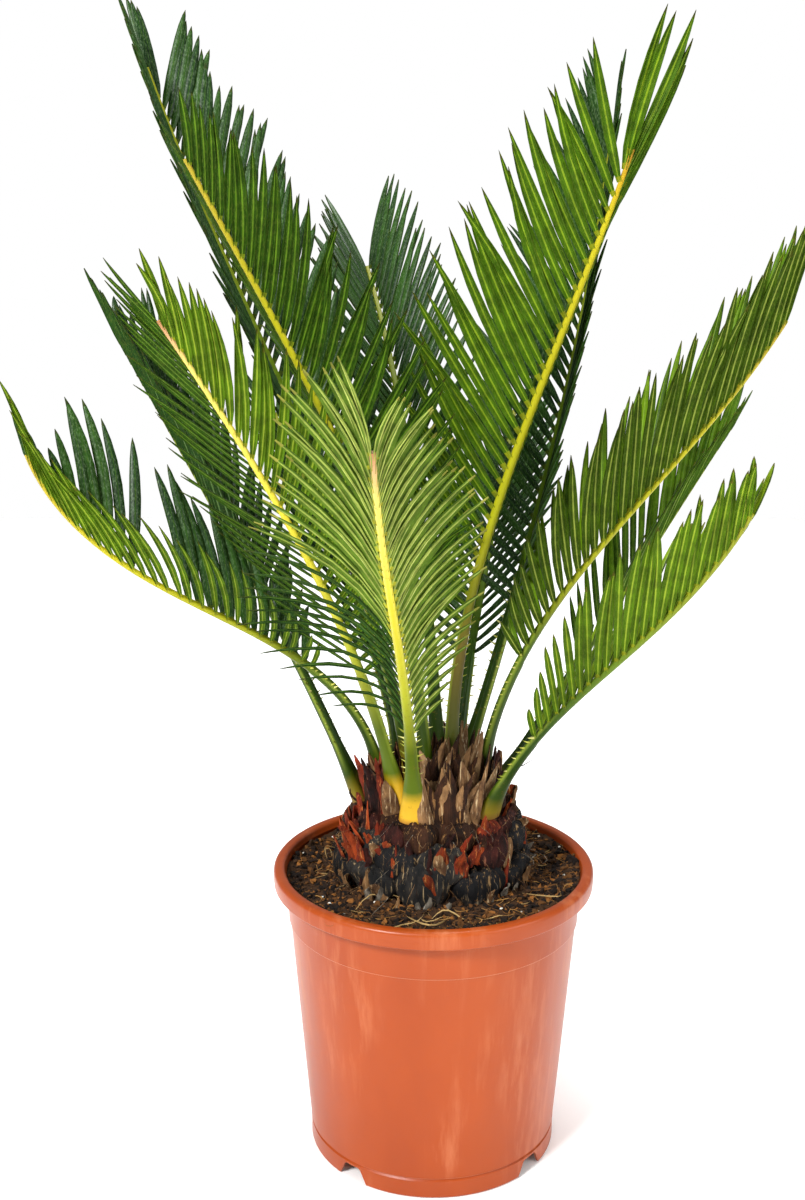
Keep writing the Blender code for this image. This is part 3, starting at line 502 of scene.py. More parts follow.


# fronds

# foot: azimuth and radius where the frond stands on the dome; headings at foot and tip; lifts at foot,
# middle and tip; roll about its rib; stalk: share of the length without leaflets; leaflet: length of the
# longest one. The rest are habits of its leaflets, in degrees or shares: fold up from flat, open from the rib,
# bend and flare at the root, turn about their own line, reach, sag, how thin and how blunt. A habit is one
# value, or values at shares of the blade from its foot to its tip, and a row of leaflets (right or left seen
# along the frond from its foot, upper face up) may have its own. A row has no leaflets in its gap, and deep
# green ones up to its dark share.
# shade: the frond's palette of greens, darker or brighter with painted light and shade
fronds = {
    "back_left_tall": dict(
        foot=(135, 0.016), headings=(146, 156), lifts=(78, 63, 69), length=0.400, roll=10, fold=38,
        stalk=0.27, leaflet=0.078, shade="deep", rib="green", bend=2, flare=4, thin=0.95, blunt=0.75, turn=14,
        right=dict(open=((0, 64), (0.3, 44), (0.5, 36), (0.7, 33), (0.92, 33), (0.94, 9), (1, 0)),
                   reach=((0, 0.35), (0.2, 0.85), (0.4, 1.1), (0.6, 1.12), (0.75, 0.92), (0.92, 0.72),
                          (1, 0.56)))),
    "left_tall": dict(
        foot=(250, 0.014), headings=(195, 192), lifts=(91, 67, 62), length=0.338, roll=-34, fold=32,
        stalk=0.26, leaflet=0.082, shade="dark", rib="yellow", bend=4, flare=6, thin=0.92,
        right=dict(open=((0, 60), (0.5, 40), (1, 26)), reach=((0, 0.3), (0.3, 0.62), (0.7, 0.6), (1, 0.3))),
        left=dict(reach=((0, 0.35), (0.1, 0.60), (0.2, 0.80), (0.35, 0.94), (0.55, 0.95), (0.75, 0.78),
                         (0.88, 0.58), (1, 0.42)))),
    "front_left": dict(
        foot=(225, 0.026), headings=(214, 213), lifts=(78, 62, 55), length=0.280, roll=-12, fold=28,
        stalk=0.27, leaflet=0.080, shade="bright", rib="gold", bend=6, flare=8,
        # this row's upper faces lie in shadow, so the dark palette here is painted shade
        right=dict(fold=-13, open=((0, 50), (0.4, 40), (0.75, 24), (1, 8)), shade="dark", thin=0.58,
                   reach=((0, 0.5), (0.2, 0.95), (0.5, 0.92), (0.7, 0.80), (1, 0.5))),
        left=dict(fold=33, thin=0.84, open=((0, 60), (0.3, 44), (0.6, 30), (1, 16)),
                  reach=((0, 0.35), (0.2, 0.85), (0.4, 1.0), (0.55, 0.95), (0.7, 0.80), (0.85, 0.65),
                         (1, 0.45)))),
    "left": dict(
        foot=(176, 0.038), headings=(164, 160), lifts=(67, 60, 59), length=0.274, roll=0, fold=38,
        stalk=0.31, leaflet=0.078, shade="deep", rib="green", bend=2, flare=4, thin=0.85, blunt=0.5,
        right=dict(open=((0, 52), (0.4, 32), (1, 18)),
                   reach=((0, 0.3), (0.3, 0.72), (0.5, 0.85), (0.7, 1.0), (0.77, 1.0), (0.84, 0.5),
                          (1, 0.32)))),
    "left_low": dict(
        foot=(160, 0.030), headings=(207, 198), lifts=(87, 31, 72), length=0.266, roll=6, fold=42,
        stalk=0.31, leaflet=0.085, shade="mid", rib="yellow", bend=8, flare=8,
        right=dict(fold=62, open=((0, 60), (0.4, 50), (0.56, 60), (0.69, 48), (0.75, 40), (0.85, 20), (1, 8)),
                   reach=((0, 0.3), (0.3, 0.8), (0.45, 0.86), (0.56, 0.80), (0.69, 0.90), (0.76, 0.70),
                          (0.82, 0.3), (1, 0.3)),
                   shade="deep", gap=(0.43, 0.565), blunt=0.6),
        left=dict(open=((0, 66), (0.4, 46), (0.5, 34), (0.62, 22), (0.75, 14), (1, 8)), thin=0.64,
                  shade="bright", fold=((0, 42), (0.5, 48), (0.62, 72), (1, 90)),
                  reach=((0, 0.3), (0.3, 0.7), (0.45, 0.75), (0.6, 0.68), (0.8, 0.6), (1, 0.5)))),
    "front": dict(
        foot=(252, 0.034), headings=(262, 266), lifts=(80, 44, 54), length=0.275, roll=0, fold=34,
        stalk=0.20, leaflet=0.075, shade="pale", rib="gold", bend=-12, flare=20,
        left=dict(open=((0, 52), (0.3, 44), (0.7, 38), (1, 26)),
                  reach=((0, 0.30), (0.12, 0.62), (0.3, 0.85), (0.5, 0.93), (0.62, 0.85), (0.8, 0.72),
                         (0.91, 0.56), (1, 0.34))),
        right=dict(fold=((0, 10), (0.25, 14), (0.45, 30), (0.6, 34)),
                   open=((0, 72), (0.15, 69), (0.3, 62), (0.5, 48), (0.85, 30), (1, 14)),
                   reach=((0, 0.45), (0.1, 0.9), (0.2, 1.1), (0.35, 1.15), (0.5, 1.0), (0.8, 0.95),
                          (0.91, 0.8), (1, 0.6)),
                   sag=((0, 0.12), (0.3, 0.08), (0.5, 0.0)), flare=((0, 52), (0.5, 20)),
                   thin=((0, 0.62), (0.35, 0.7), (0.5, 1)), dark=0.36)),
    "back_tall": dict(
        foot=(80, 0.016), headings=(100, 106), lifts=(77, 55, 40), length=0.320, roll=14, fold=40,
        stalk=0.27, leaflet=0.080, shade="deep", rib="green", bend=-2, flare=8, blunt=0.4,
        right=dict(open=((0, 68), (0.2, 56), (0.5, 43), (0.75, 36), (1, 29)),
                   reach=((0, 0.35), (0.2, 0.81), (0.4, 1.0), (0.7, 1.0), (0.86, 1.0), (1, 0.85))),
        left=dict(open=((0, 68), (0.2, 56), (0.5, 43), (0.75, 28), (1, 17)),
                  reach=((0, 0.35), (0.2, 0.81), (0.4, 1.0), (0.7, 1.05), (1, 0.8)))),
    "right_tall": dict(
        foot=(-50, 0.015), headings=(-14, -10), lifts=(94, 72, 72), length=0.332, roll=50, fold=40,
        stalk=0.27, leaflet=0.090, shade="olive", rib="brown", bend=4, flare=0,
        right=dict(open=((0, 58), (0.3, 48), (0.8, 43), (0.93, 38), (0.95, 9), (1, 0)),
                   turn=((0.94, 0), (0.95, 12)),
                   reach=((0, 0.40), (0.15, 0.85), (0.3, 1.06), (0.55, 1.05), (0.75, 0.9), (0.93, 0.68),
                          (0.95, 0.82), (1, 0.78))),
        left=dict(fold=((0, 58), (0.80, 58), (0.90, 8), (1, -20)),
                  open=((0, 60), (0.5, 34), (0.8, 13), (1, 3)),
                  reach=((0, 0.35), (0.3, 0.8), (0.6, 0.9), (0.85, 0.86), (1, 0.76)))),
    "back_right_tall": dict(
        foot=(40, 0.018), headings=(24, 18), lifts=(71, 76, 84), length=0.345, roll=-10, fold=35,
        stalk=0.28, leaflet=0.080, shade="deep", rib="green", bend=-4, flare=6, thin=0.85),
    "right": dict(
        foot=(0, 0.025), headings=(-18, -15), lifts=(87, 53, 61), length=0.288, roll=0, fold=48,
        stalk=0.26, leaflet=0.078, shade="moss", rib="yellow", bend=4, flare=6, thin=0.84, blunt=0.5,
        reach=((0, 0.35), (0.1, 0.60), (0.2, 0.81), (0.3, 0.95), (0.4, 1.0), (0.6, 1.0), (0.8, 0.95),
               (1, 0.72)),
        right=dict(open=((0, 52), (0.5, 34), (1, 20)))),
    "back_right": dict(
        foot=(22, 0.036), headings=(22, 24), lifts=(53, 54, 52), length=0.234, roll=0, fold=42,
        stalk=0.32, leaflet=0.070, shade="mid", rib="green", bend=0, flare=6, thin=0.66,
        right=dict(reach=((0, 0.35), (0.3, 0.9), (0.6, 0.8), (1, 0.35))),
        left=dict(open=((0, 44), (0.5, 26), (1, 14)))),
    "front_right": dict(
        foot=(-38, 0.035), headings=(-46, -42), lifts=(66, 44, 62), length=0.228, roll=0, fold=48,
        stalk=0.24, leaflet=0.070, shade="bright", rib="green", bend=2, flare=4, thin=0.76, blunt=0.6,
        right=dict(open=((0, 42), (0.5, 32), (1, 20)),
                   reach=((0, 0.2), (0.05, 0.4), (0.2, 0.81), (0.3, 0.95), (0.4, 1.0), (0.6, 0.93),
                          (0.8, 0.72), (1, 0.4))),
        left=dict(reach=((0, 0.35), (0.2, 0.81), (0.4, 1.0), (0.6, 0.85), (0.8, 0.62), (1, 0.36)),
                  open=((0, 56), (0.5, 40), (0.8, 20), (1, 10)))),
    "back_low": dict(
        foot=(68, 0.034), headings=(72, 76), lifts=(74, 48, 46), length=0.236, roll=0, fold=36,
        stalk=0.28, leaflet=0.068, shade="deep", rib="green", bend=6, flare=8),
    "back_left_low": dict(
        foot=(118, 0.034), headings=(120, 122), lifts=(74, 46, 46), length=0.240, roll=0, fold=36,
        stalk=0.28, leaflet=0.068, shade="deep", rib="green", bend=6, flare=8),
}
dome = {"top": 0.2033, "height": 0.013, "radius": 0.0405, "gap": 0.0003}     # what the fronds stand on
courseSteps = 96
leaflet = {
    "pitch": 0.0066, "width": 0.0058,
    # the species' usual habits
    "habits": {"open": ((0, 68), (0.2, 56), (0.5, 43), (0.75, 33), (1, 24)),
               "reach": ((0, 0.35), (0.1, 0.60), (0.2, 0.81), (0.3, 0.95), (0.4, 1.0), (0.6, 0.93),
                         (0.8, 0.77), (1, 0.55)),
               "flare": 6, "bend": 0, "sag": 0, "thin": 1, "turn": 0, "blunt": 0},
    # share of the length, and half width there
    "outline": ((0.0, 0.42), (0.04, 0.52), (0.14, 0.84), (0.34, 1.0), (0.54, 0.98), (0.71, 0.82),
                (0.85, 0.54), (0.95, 0.24), (1.0, 0.02)),
    # across and up in half widths: midrib line and upper face, rolled margin, groove, midrib below, and back
    "section": ((-0.08, 0.33), (0.08, 0.33), (0.84, 0.04), (1.0, -0.18), (0.88, -0.38), (0.52, -0.04),
                (0.15, -0.12), (-0.15, -0.12), (-0.52, -0.04), (-0.88, -0.38), (-1.0, -0.18), (-0.84, 0.04)),
    "strips": ("line", "upper", "edge", "margin", "groove", "groove", "midrib", "groove", "groove", "margin",
               "edge", "upper"),
    "clouds": 7.143, "flecks": 0.6667, "grain": 0.7692,     # patterns in mm
}
# three upper faces, midrib line above, edge, margin below, groove, midrib below, point, foot
leafKinds = ("upper0", "upper1", "upper2", "line", "edge", "margin", "groove", "midrib", "point", "foot")
leafRoughness = (0.36, 0.36, 0.36, 0.42, 0.42, 0.55, 0.62, 0.5, 0.5, 0.45)
# palettes for the kinds of leaf face: besides the leaves' greens they paint light and shade, deep and dark for
# fronds and rows in shade, bright for lit ones; pale shows the paler undersides
shades = {
    "deep": ("#1c3c0c", "#25480f", "#15330e", "#2c5016", "#1c3a0c", "#2c4a14", "#1e420e", "#4a6e22",
             "#2c3a14", "#4c5c16"),
    "dark": ("#2c4c04", "#3a5c06", "#203c04", "#4a6e12", "#1e3404", "#2c4606", "#2a4a06", "#587a18",
             "#3c4412", "#6e7c14"),
    "mid": ("#3e6008", "#4c700b", "#2e4e06", "#5b7a12", "#263e04", "#365006", "#3a5c08", "#78902a",
            "#4a5216", "#6e7c14"),
    "moss": ("#4a6c08", "#5c7e0e", "#365404", "#74902c", "#243a02", "#384e06", "#3a5404", "#8c9a3c",
             "#4a5212", "#747c12"),
    "olive": ("#4a6c06", "#5a7e08", "#3a5c04", "#6b8a0e", "#2e4a04", "#42600a", "#3e6004", "#76901a",
              "#4a5012", "#7c8412"),
    "bright": ("#62800c", "#759216", "#4a6a06", "#96aa38", "#2c4404", "#485e0a", "#4d6e08", "#8a9e28",
               "#5a5c16", "#868c14"),
    "pale": ("#2c4a08", "#38580a", "#203e06", "#4c6a18", "#5c7628", "#93a248", "#54701c", "#b6c062",
             "#8a8a3a", "#a8a82c"),
}
rib = {
    "rings": 90, "sides": 12,
    # half widths and depths, in metres: the swollen foot, the stalk at its foot and what it loses up to the
    # blade, and the midrib; taper is the midrib's scale at the blade's foot and what it loses up to the tip
    "foot": (0.0074, 0.0044), "footRise": 0.0022, "footShare": 0.12, "innerFoot": 0.74, "outerFoot": 1.08,
    "stalk": (0.0040, 0.0033), "stalkLoss": (0.0011, 0.0005), "stalkRise": 0.8,
    "midrib": (0.0029, 0.0028, 0.0019), "taper": (0.88, 0.46), "shoulder": 0.0006,
    "groove": 0.45, "grooveWidth": 0.35,
    # the stalk's paler sides are a painted sheen
    "sideSheenColour": "#8c9c34", "fleckColour": "#6d5a14", "flecks": 3.03, "grain": 2.0,     # patterns in mm
}
ribColours = {      # stops along the frond, from its foot to its tip
    "gold": ((0.0, "#9a6420"), (0.012, "#d4a428"), (0.045, "#c29a20"), (0.070, "#4c5e06"), (0.16, "#4a5a04"),
             (0.32, "#a6a92a"), (0.62, "#d6c534"), (0.90, "#dccb62"), (0.97, "#cfa070"), (1.0, "#a8764a")),
    "yellow": ((0.0, "#9a6420"), (0.02, "#a88c1c"), (0.055, "#344604"), (0.13, "#283e03"), (0.30, "#405806"),
               (0.48, "#949614"), (0.75, "#b3ab18"), (1.0, "#a8942a")),
    "brown": ((0.0, "#6a4420"), (0.05, "#3e4a10"), (0.15, "#4c4a12"), (0.23, "#5e5018"), (0.31, "#6a6a14"),
              (0.44, "#9c9c12"), (0.90, "#b4a816"), (0.965, "#b89418"), (1.0, "#9a6a1c")),
    "green": ((0.0, "#7a5a24"), (0.02, "#7a6a18"), (0.06, "#283c04"), (0.14, "#1e3403"), (0.30, "#2a4604"),
              (0.55, "#5c7612"), (1.0, "#8a8c20")),
}


def domeLevel(radius):
    return dome["top"] - dome["height"] * (radius / dome["radius"]) ** 2


def between(three, share):
    # a smooth course through the values at foot, middle and tip
    foot, middle, tip = three
    left = 1 - share
    return foot * left * (1 - 2 * share) + middle * 4 * share * left + tip * share * (2 * share - 1)


def ribCourse(frond):
    # steps along the rib by the rule of the solids: spot, way along, way across and way the upper face looks
    azimuth, radius = math.radians(frond["foot"][0]), frond["foot"][1]
    roll = math.radians(frond["roll"])
    first, last = frond["headings"]
    spot = Vector((*polar(radius, azimuth), domeLevel(radius) + dome["gap"]))
    course = []
    for step in range(courseSteps + 1):
        share = step / courseSteps
        heading = math.radians(first + (last - first) * share)
        lift = math.radians(between(frond["lifts"], share))
        level = Vector((math.sin(heading), -math.cos(heading), 0.0))
        along = Vector((*polar(1, heading), 0.0)) * math.cos(lift) + Vector((0, 0, math.sin(lift)))
        across = level * math.cos(roll) + level.cross(along) * math.sin(roll)
        course.append((spot.copy(), along, across, across.cross(along)))
        spot += along * frond["length"] / courseSteps
    return course


def courseAt(course, share):
    place = min(max(share, 0.0), 1.0) * courseSteps
    step = min(int(place), courseSteps - 1)
    part = place - step
    (spot, *ways), (nextSpot, *nextWays) = course[step], course[step + 1]
    return spot.lerp(nextSpot, part), *(a.lerp(b, part).normalized() for a, b in zip(ways, nextWays))


def makeLeafletShape():
    # one straight leaflet: points as (across, up, ring number), faces, and each face's kind and ring
    section, rings = leaflet["section"], leaflet["outline"]
    bpy.ops.mesh.primitive_cylinder_add(vertices=len(section), radius=1, depth=1, end_fill_type="NOTHING")
    item = bpy.context.object
    pickAll(item)
    bpy.ops.mesh.select_mode(type="EDGE")
    bpy.ops.mesh.select_all(action="DESELECT")
    endEdit()
    for edge in item.data.edges:
        first, second = (item.data.vertices[n].co for n in edge.vertices)
        edge.select = abs(first.z - second.z) > 0.5
    bpy.ops.object.mode_set(mode="EDIT")
    bpy.ops.mesh.subdivide(number_cuts=len(rings) - 2)
    bpy.ops.mesh.select_mode(type="VERT")
    endEdit()
    places = []
    for vert in item.data.vertices:
        corner = round(math.atan2(vert.co.x, vert.co.y) % math.tau / math.tau * len(section)) % len(section)
        places.append((corner, round((vert.co.z + 0.5) * (len(rings) - 1))))
    for vert, (corner, ring) in zip(item.data.vertices, places):
        wide = rings[ring][1]
        vert.co = (section[corner][0] * wide, section[corner][1] * min(1.0, 0.3 + wide), ring)
    kinds = []
    for face in item.data.polygons:
        corners = sorted({places[n][0] for n in face.vertices})
        strip = corners[-1] if corners == [0, len(section) - 1] else corners[0]
        kinds.append((leaflet["strips"][strip], min(places[n][1] for n in face.vertices)))
    points, faces = shapeOf(item)
    return points, faces, kinds


def leafMaterial(name, colour, roughness, waxedWithSheen=False):
    # waxy cuticle over stiff leaf tissue: the eye gets a satin gloss with fine lengthwise unevenness, and on
    # waxed leaves grey-green flecks that paint a sheen
    # grey-green flecks on waxed leaves are a painted sheen; the others get faint yellow-green flecks
    gloss, flecks, fleckColour = (0.25, 0.24, "#93b080") if waxedWithSheen else (0.12, 0.10, "#a8b04c")
    material, tree, shader = newMaterial(name, Roughness=roughness, IOR=1.42, Specular_IOR_Level=gloss)
    full = toLinear(colour)
    dark = (*(channel * 0.62 for channel in full[:3]), 1.0)
    cloud = addNode(tree, "ShaderNodeValToRGB", stops=((0.36, 0.0), (0.62, 1.0)),
                    Fac=addPattern(tree, leaflet["clouds"], detail=3)).outputs["Color"]
    mixed = addNode(tree, "ShaderNodeMix", {"data_type": "RGBA"}, n0=cloud, n6=dark, n7=full).outputs[2]
    fleck = addNode(tree, "ShaderNodeValToRGB", stops=((0.50, 0.0), (0.64, flecks)),
                    Fac=addPattern(tree, leaflet["flecks"], (1, 1, 0.3), rough=0.7)).outputs["Color"]
    flecksAndSheen = addNode(tree, "ShaderNodeMix", {"data_type": "RGBA"}, n0=fleck, n6=mixed, n7=toLinear(fleckColour))
    grain = addNode(tree, "ShaderNodeBump", Height=addPattern(tree, leaflet["grain"], detail=2),
                    Strength=0.25, Distance=0.0003)
    setInputs(tree, shader, Base_Color=flecksAndSheen.outputs[2], Normal=grain.outputs["Normal"])
    return material


def ribMaterial(name, stops):
    # smooth waxy stalk: green with paler sides up to the blade, a painted sheen, then a yellow rib with brown
    # flecks
    material, tree, shader = newMaterial("rib_" + name, Roughness=0.42, IOR=1.45, Specular_IOR_Level=0.2)
    layout = addNode(tree, "ShaderNodeUVMap", {"uv_map": "course"}).outputs["UV"]
    parts = addNode(tree, "ShaderNodeSeparateXYZ", Vector=layout)
    base = addNode(tree, "ShaderNodeValToRGB", stops=stops, Fac=parts.outputs["X"]).outputs["Color"]
    # paler bands down both sides of the stalk: a painted sheen
    edges = addNode(tree, "ShaderNodeValToRGB", Fac=parts.outputs["Y"],
                    stops=((0.16, 0.0), (0.25, 0.7), (0.34, 0.0), (0.66, 0.0), (0.75, 0.7), (0.84, 0.0)))
    low = addNode(tree, "ShaderNodeValToRGB", Fac=parts.outputs["X"],
                  stops=((0.06, 0.0), (0.12, 1.0), (0.28, 1.0), (0.36, 0.0)))
    sideSheenMask = addNode(tree, "ShaderNodeMath", {"operation": "MULTIPLY"},
                       n0=edges.outputs["Color"], n1=low.outputs["Color"]).outputs[0]
    sideSheened = addNode(tree, "ShaderNodeMix", {"data_type": "RGBA"},
                    n0=sideSheenMask, n6=base, n7=toLinear(rib["sideSheenColour"])).outputs[2]
    fleck = addNode(tree, "ShaderNodeValToRGB", stops=((0.60, 0.0), (0.72, 0.55)),
                    Fac=addPattern(tree, rib["flecks"], rough=0.7)).outputs["Color"]
    mixed = addNode(tree, "ShaderNodeMix", {"data_type": "RGBA"},
                    n0=fleck, n6=sideSheened, n7=toLinear(rib["fleckColour"])).outputs[2]
    grain = addNode(tree, "ShaderNodeBump", Height=addPattern(tree, rib["grain"], detail=3),
                    Strength=0.2, Distance=0.0004).outputs["Normal"]
    setInputs(tree, shader, Base_Color=mixed, Normal=grain)
    return material


def ribSection(frond, share):
    # half width, depth below and height above, in metres
    stalk = frond["stalk"]
    if share >= stalk:
        slim = (share - stalk) / (1 - stalk)
        scale = rib["taper"][0] - rib["taper"][1] * slim
        width, depth, rise = (size * scale for size in rib["midrib"])
        return width, depth, rise + rib["shoulder"] * max(0.0, 1 - slim * 6)
    swollen = rib["innerFoot"] if frond["foot"][1] < 0.022 else rib["outerFoot"]
    swell = max(0.0, 1 - share / rib["footShare"]) ** 1.3
    width, depth = (size - loss * share / stalk for size, loss in zip(rib["stalk"], rib["stalkLoss"]))
    rise = depth * rib["stalkRise"] + rib["footRise"] * swell
    width, depth = (size + (foot * swollen - size) * swell for size, foot in zip((width, depth), rib["foot"]))
    return width, depth, rise


def makeRib(name, frond, course, material):
    rings, sides = rib["rings"], rib["sides"]
    shares = [(ring / rings) ** 1.25 for ring in range(rings + 1)]
    points, layout = [], []
    for share in shares:
        spot, along, across, face = courseAt(course, share)
        width, depth, rise = ribSection(frond, share)
        for side in range(sides):
            y, x = polar(1, math.tau * side / sides)
            groove = 1 - rib["groove"] * math.exp(-(x / rib["grooveWidth"]) ** 2)     # along the upper face
            points.append(spot + across * width * x + face * (rise * y * groove if y > 0 else depth * y))
    for low, high in zip(shares, shares[1:]):
        for side in range(sides):
            left, right = side / sides, (side + 1) / sides
            layout += [low, left, low, right, high, right, high, left]
    layout += [0.0, 0.0] * sides + [1.0, 0.0] * sides
    item = pieceFrom(name + "_rib", points, tubeFaces(rings + 1, sides), [material], smooth=50)
    item.data.uv_layers.new(name="course").data.foreach_set("uv", layout)
    finishPiece(item, "stalk_green", name + "_stalk")


def habit(frond, side, key, share):
    # a row's own habit, or the frond's, or the species' usual one, at a share of the blade
    row = frond.get("right" if side > 0 else "left", {})
    value = row.get(key, frond.get(key, leaflet["habits"].get(key)))
    return value if isinstance(value, (int, float)) else float(np.interp(share, *zip(*value)))


def leafletCurve(frond, course, share, side, chance):
    # root, bend and tip of one leaflet, with the way its upper face looks
    bladeShare = frond["stalk"] + (1 - frond["stalk"]) * share
    spot, along, across, face = courseAt(course, bladeShare)

    def outward(angle):
        return across * side * math.cos(math.radians(angle)) + face * math.sin(math.radians(angle))

    fold, opening = habit(frond, side, "fold", share), habit(frond, side, "open", share)
    normal = face * math.cos(math.radians(fold)) - across * side * math.sin(math.radians(fold))
    reach = frond["leaflet"] * habit(frond, side, "reach", share) * chance.uniform(0.89, 1.0)
    root = spot + across * side * ribSection(frond, bladeShare)[0] * 0.78 - face * 0.0002
    turn = math.radians(opening + chance.gauss(0, 2.6))
    tip = root + (along * math.cos(turn) + outward(fold) * math.sin(turn)) * reach
    tip += normal * reach * chance.gauss(0, 0.015)
    tip.z -= reach * habit(frond, side, "sag", share)
    start = math.radians(max(opening + habit(frond, side, "bend", share), 6))
    lifted = outward(fold + habit(frond, side, "flare", share))
    bend = root + (along * math.cos(start) + lifted * math.sin(start)) * reach * 0.48
    return root, bend, tip, normal, along, reach


def leafletKind(kind, ring, tone):
    if ring == len(leaflet["outline"]) - 2:
        return "point"
    if ring == 0:
        return "foot"
    return f"upper{tone}" if kind == "upper" else kind


def makeLeaflets(name, frond, course, shape, leaves, chance):
    shapePoints, shapeFaces, shapeKinds = shape
    points, faces, kinds, materials, starts = [], [], [], [], {}
    count = round(frond["length"] * (1 - frond["stalk"]) / leaflet["pitch"])
    for side in (1, -1):
        row = frond.get("right" if side > 0 else "left", {})
        gap = row.get("gap", (2, 2))
        for number in range(count):
            share = (number + 0.5 + chance.uniform(-0.12, 0.12) + 0.12 * side) / count
            share = min(max(share, 0.004), 0.996)
            root, bend, tip, normal, along, reach = leafletCurve(frond, course, share, side, chance)
            width = leaflet["width"] / 2 * (0.74 + 0.26 * reach / frond["leaflet"])
            width *= chance.uniform(0.90, 1.06) * habit(frond, side, "thin", share)
            turn = math.radians(habit(frond, side, "turn", share) + chance.gauss(0, 5)) * side
            blunt = habit(frond, side, "blunt", share)
            tone = chance.randrange(3)
            if gap[0] < share < gap[1]:
                continue
            # the row's palette paints light and shade as well as the leaves' greens
            shade = "deep" if share < row.get("dark", 0) else row.get("shade", frond["shade"])
            if shade not in starts:
                starts[shade] = len(materials)
                materials += leaves[shade]
            rings = []
            for t, _ in leaflet["outline"]:
                centre = root * (1 - t) ** 2 + bend * 2 * t * (1 - t) + tip * t * t
                tangent = ((bend - root) * (1 - t) + (tip - bend) * t).normalized()
                twist = math.radians(22 * (1 - t) + 6)
                lean = normal * math.cos(twist) + along * math.sin(twist)
                wide = Quaternion(tangent, turn * min(t * 3, 1.0)) @ tangent.cross(lean).normalized()
                rings.append((centre, wide * width * (1 + blunt * t ** 4), wide.cross(tangent) * width))
            start = len(points)
            for x, y, ring in shapePoints:
                centre, wide, up = rings[int(ring)]
                points.append(centre + wide * x + up * y)
            faces.extend(tuple(start + n for n in face) for face in shapeFaces)
            for kind, ring in shapeKinds:
                kinds.append(starts[shade] + leafKinds.index(leafletKind(kind, ring, tone)))
    item = pieceFrom(name + "_leaflets", points, faces, materials, kinds)
    pickAll(item)
    bpy.ops.mesh.normals_make_consistent(inside=False)
    endEdit()
    shadeSmooth(item, 34)
    finishPiece(item, "leaflet_green", name + "_blade")
    return len(faces) // len(shapeFaces)


spines = {"first": 0.10, "past": 0.02, "spacing": 0.0034, "length": 0.0043, "thickness": 0.34,
          "colours": ("#b8b850", "#dcd884", "#8a9030")}


def makeSpines(courses, chance):
    # small hooked spines along both edges of each stalk, longer towards the blade
    bpy.ops.mesh.primitive_cone_add(vertices=4, radius1=0.5, radius2=0, depth=1, end_fill_type="NOTHING")
    item = bpy.context.object
    pickAll(item)
    bpy.ops.mesh.subdivide(number_cuts=2)
    endEdit()
    for vert in item.data.vertices:
        vert.co.z += 0.5
        vert.co.x += 0.55 * vert.co.z ** 2
    shape = shapeOf(item)
    copies = []
    for name, frond in fronds.items():
        stalk, first = frond["stalk"], spines["first"]
        count = int(frond["length"] * (stalk - first) / spines["spacing"])
        for number in range(count):
            for side in (1, -1):
                share = first + (stalk + spines["past"] - first) * (number + chance.uniform(0.1, 0.9)) / count
                spot, along, across, face = courseAt(courses[name], share)
                size = spines["length"] * (0.35 + 0.75 * share / stalk) * chance.uniform(0.6, 1.15)
                out = (across * side + face * chance.uniform(0.1, 0.7)).normalized()
                thick = size * spines["thickness"]
                turn = Matrix((along * thick, out.cross(along).normalized() * thick, out * size))
                root = spot + across * side * ribSection(frond, share)[0] * 0.86 + face * 0.0003
                place = Matrix.Translation(root) @ turn.transposed().to_4x4()
                copies.append((0, place, chance.choice((0, 0, 1, 2))))
    kinds = [leafMaterial(f"spine_{n}", colour, 0.5) for n, colour in enumerate(spines["colours"])]
    finishPiece(joinCopies("spines", [shape], copies, kinds, 60), "stalk_green")


def makeFronds():
    chance = random.Random(21)
    shape = makeLeafletShape()
    ribs = {name: ribMaterial(name, stops) for name, stops in ribColours.items()}
    leaves = {shade: [] for shade in shades}
    for shade, colours in shades.items():
        for kind, colour, rough in zip(leafKinds, colours, leafRoughness):
            # upper faces of the deep palette get flecks of painted sheen
            waxedWithSheen = shade == "deep" and kind.startswith("upper")
            leaves[shade].append(leafMaterial(f"leaf_{shade}_{kind}", colour, rough, waxedWithSheen))
    courses = {name: ribCourse(frond) for name, frond in fronds.items()}
    total = 0
    for name, frond in fronds.items():
        makeRib(name, frond, courses[name], ribs[frond["rib"]])
        total += makeLeaflets(name, frond, courses[name], shape, leaves, chance)
    makeSpines(courses, chance)
    print("fronds made:", len(fronds), "leaflets:", total)


makeFronds()


# trunk

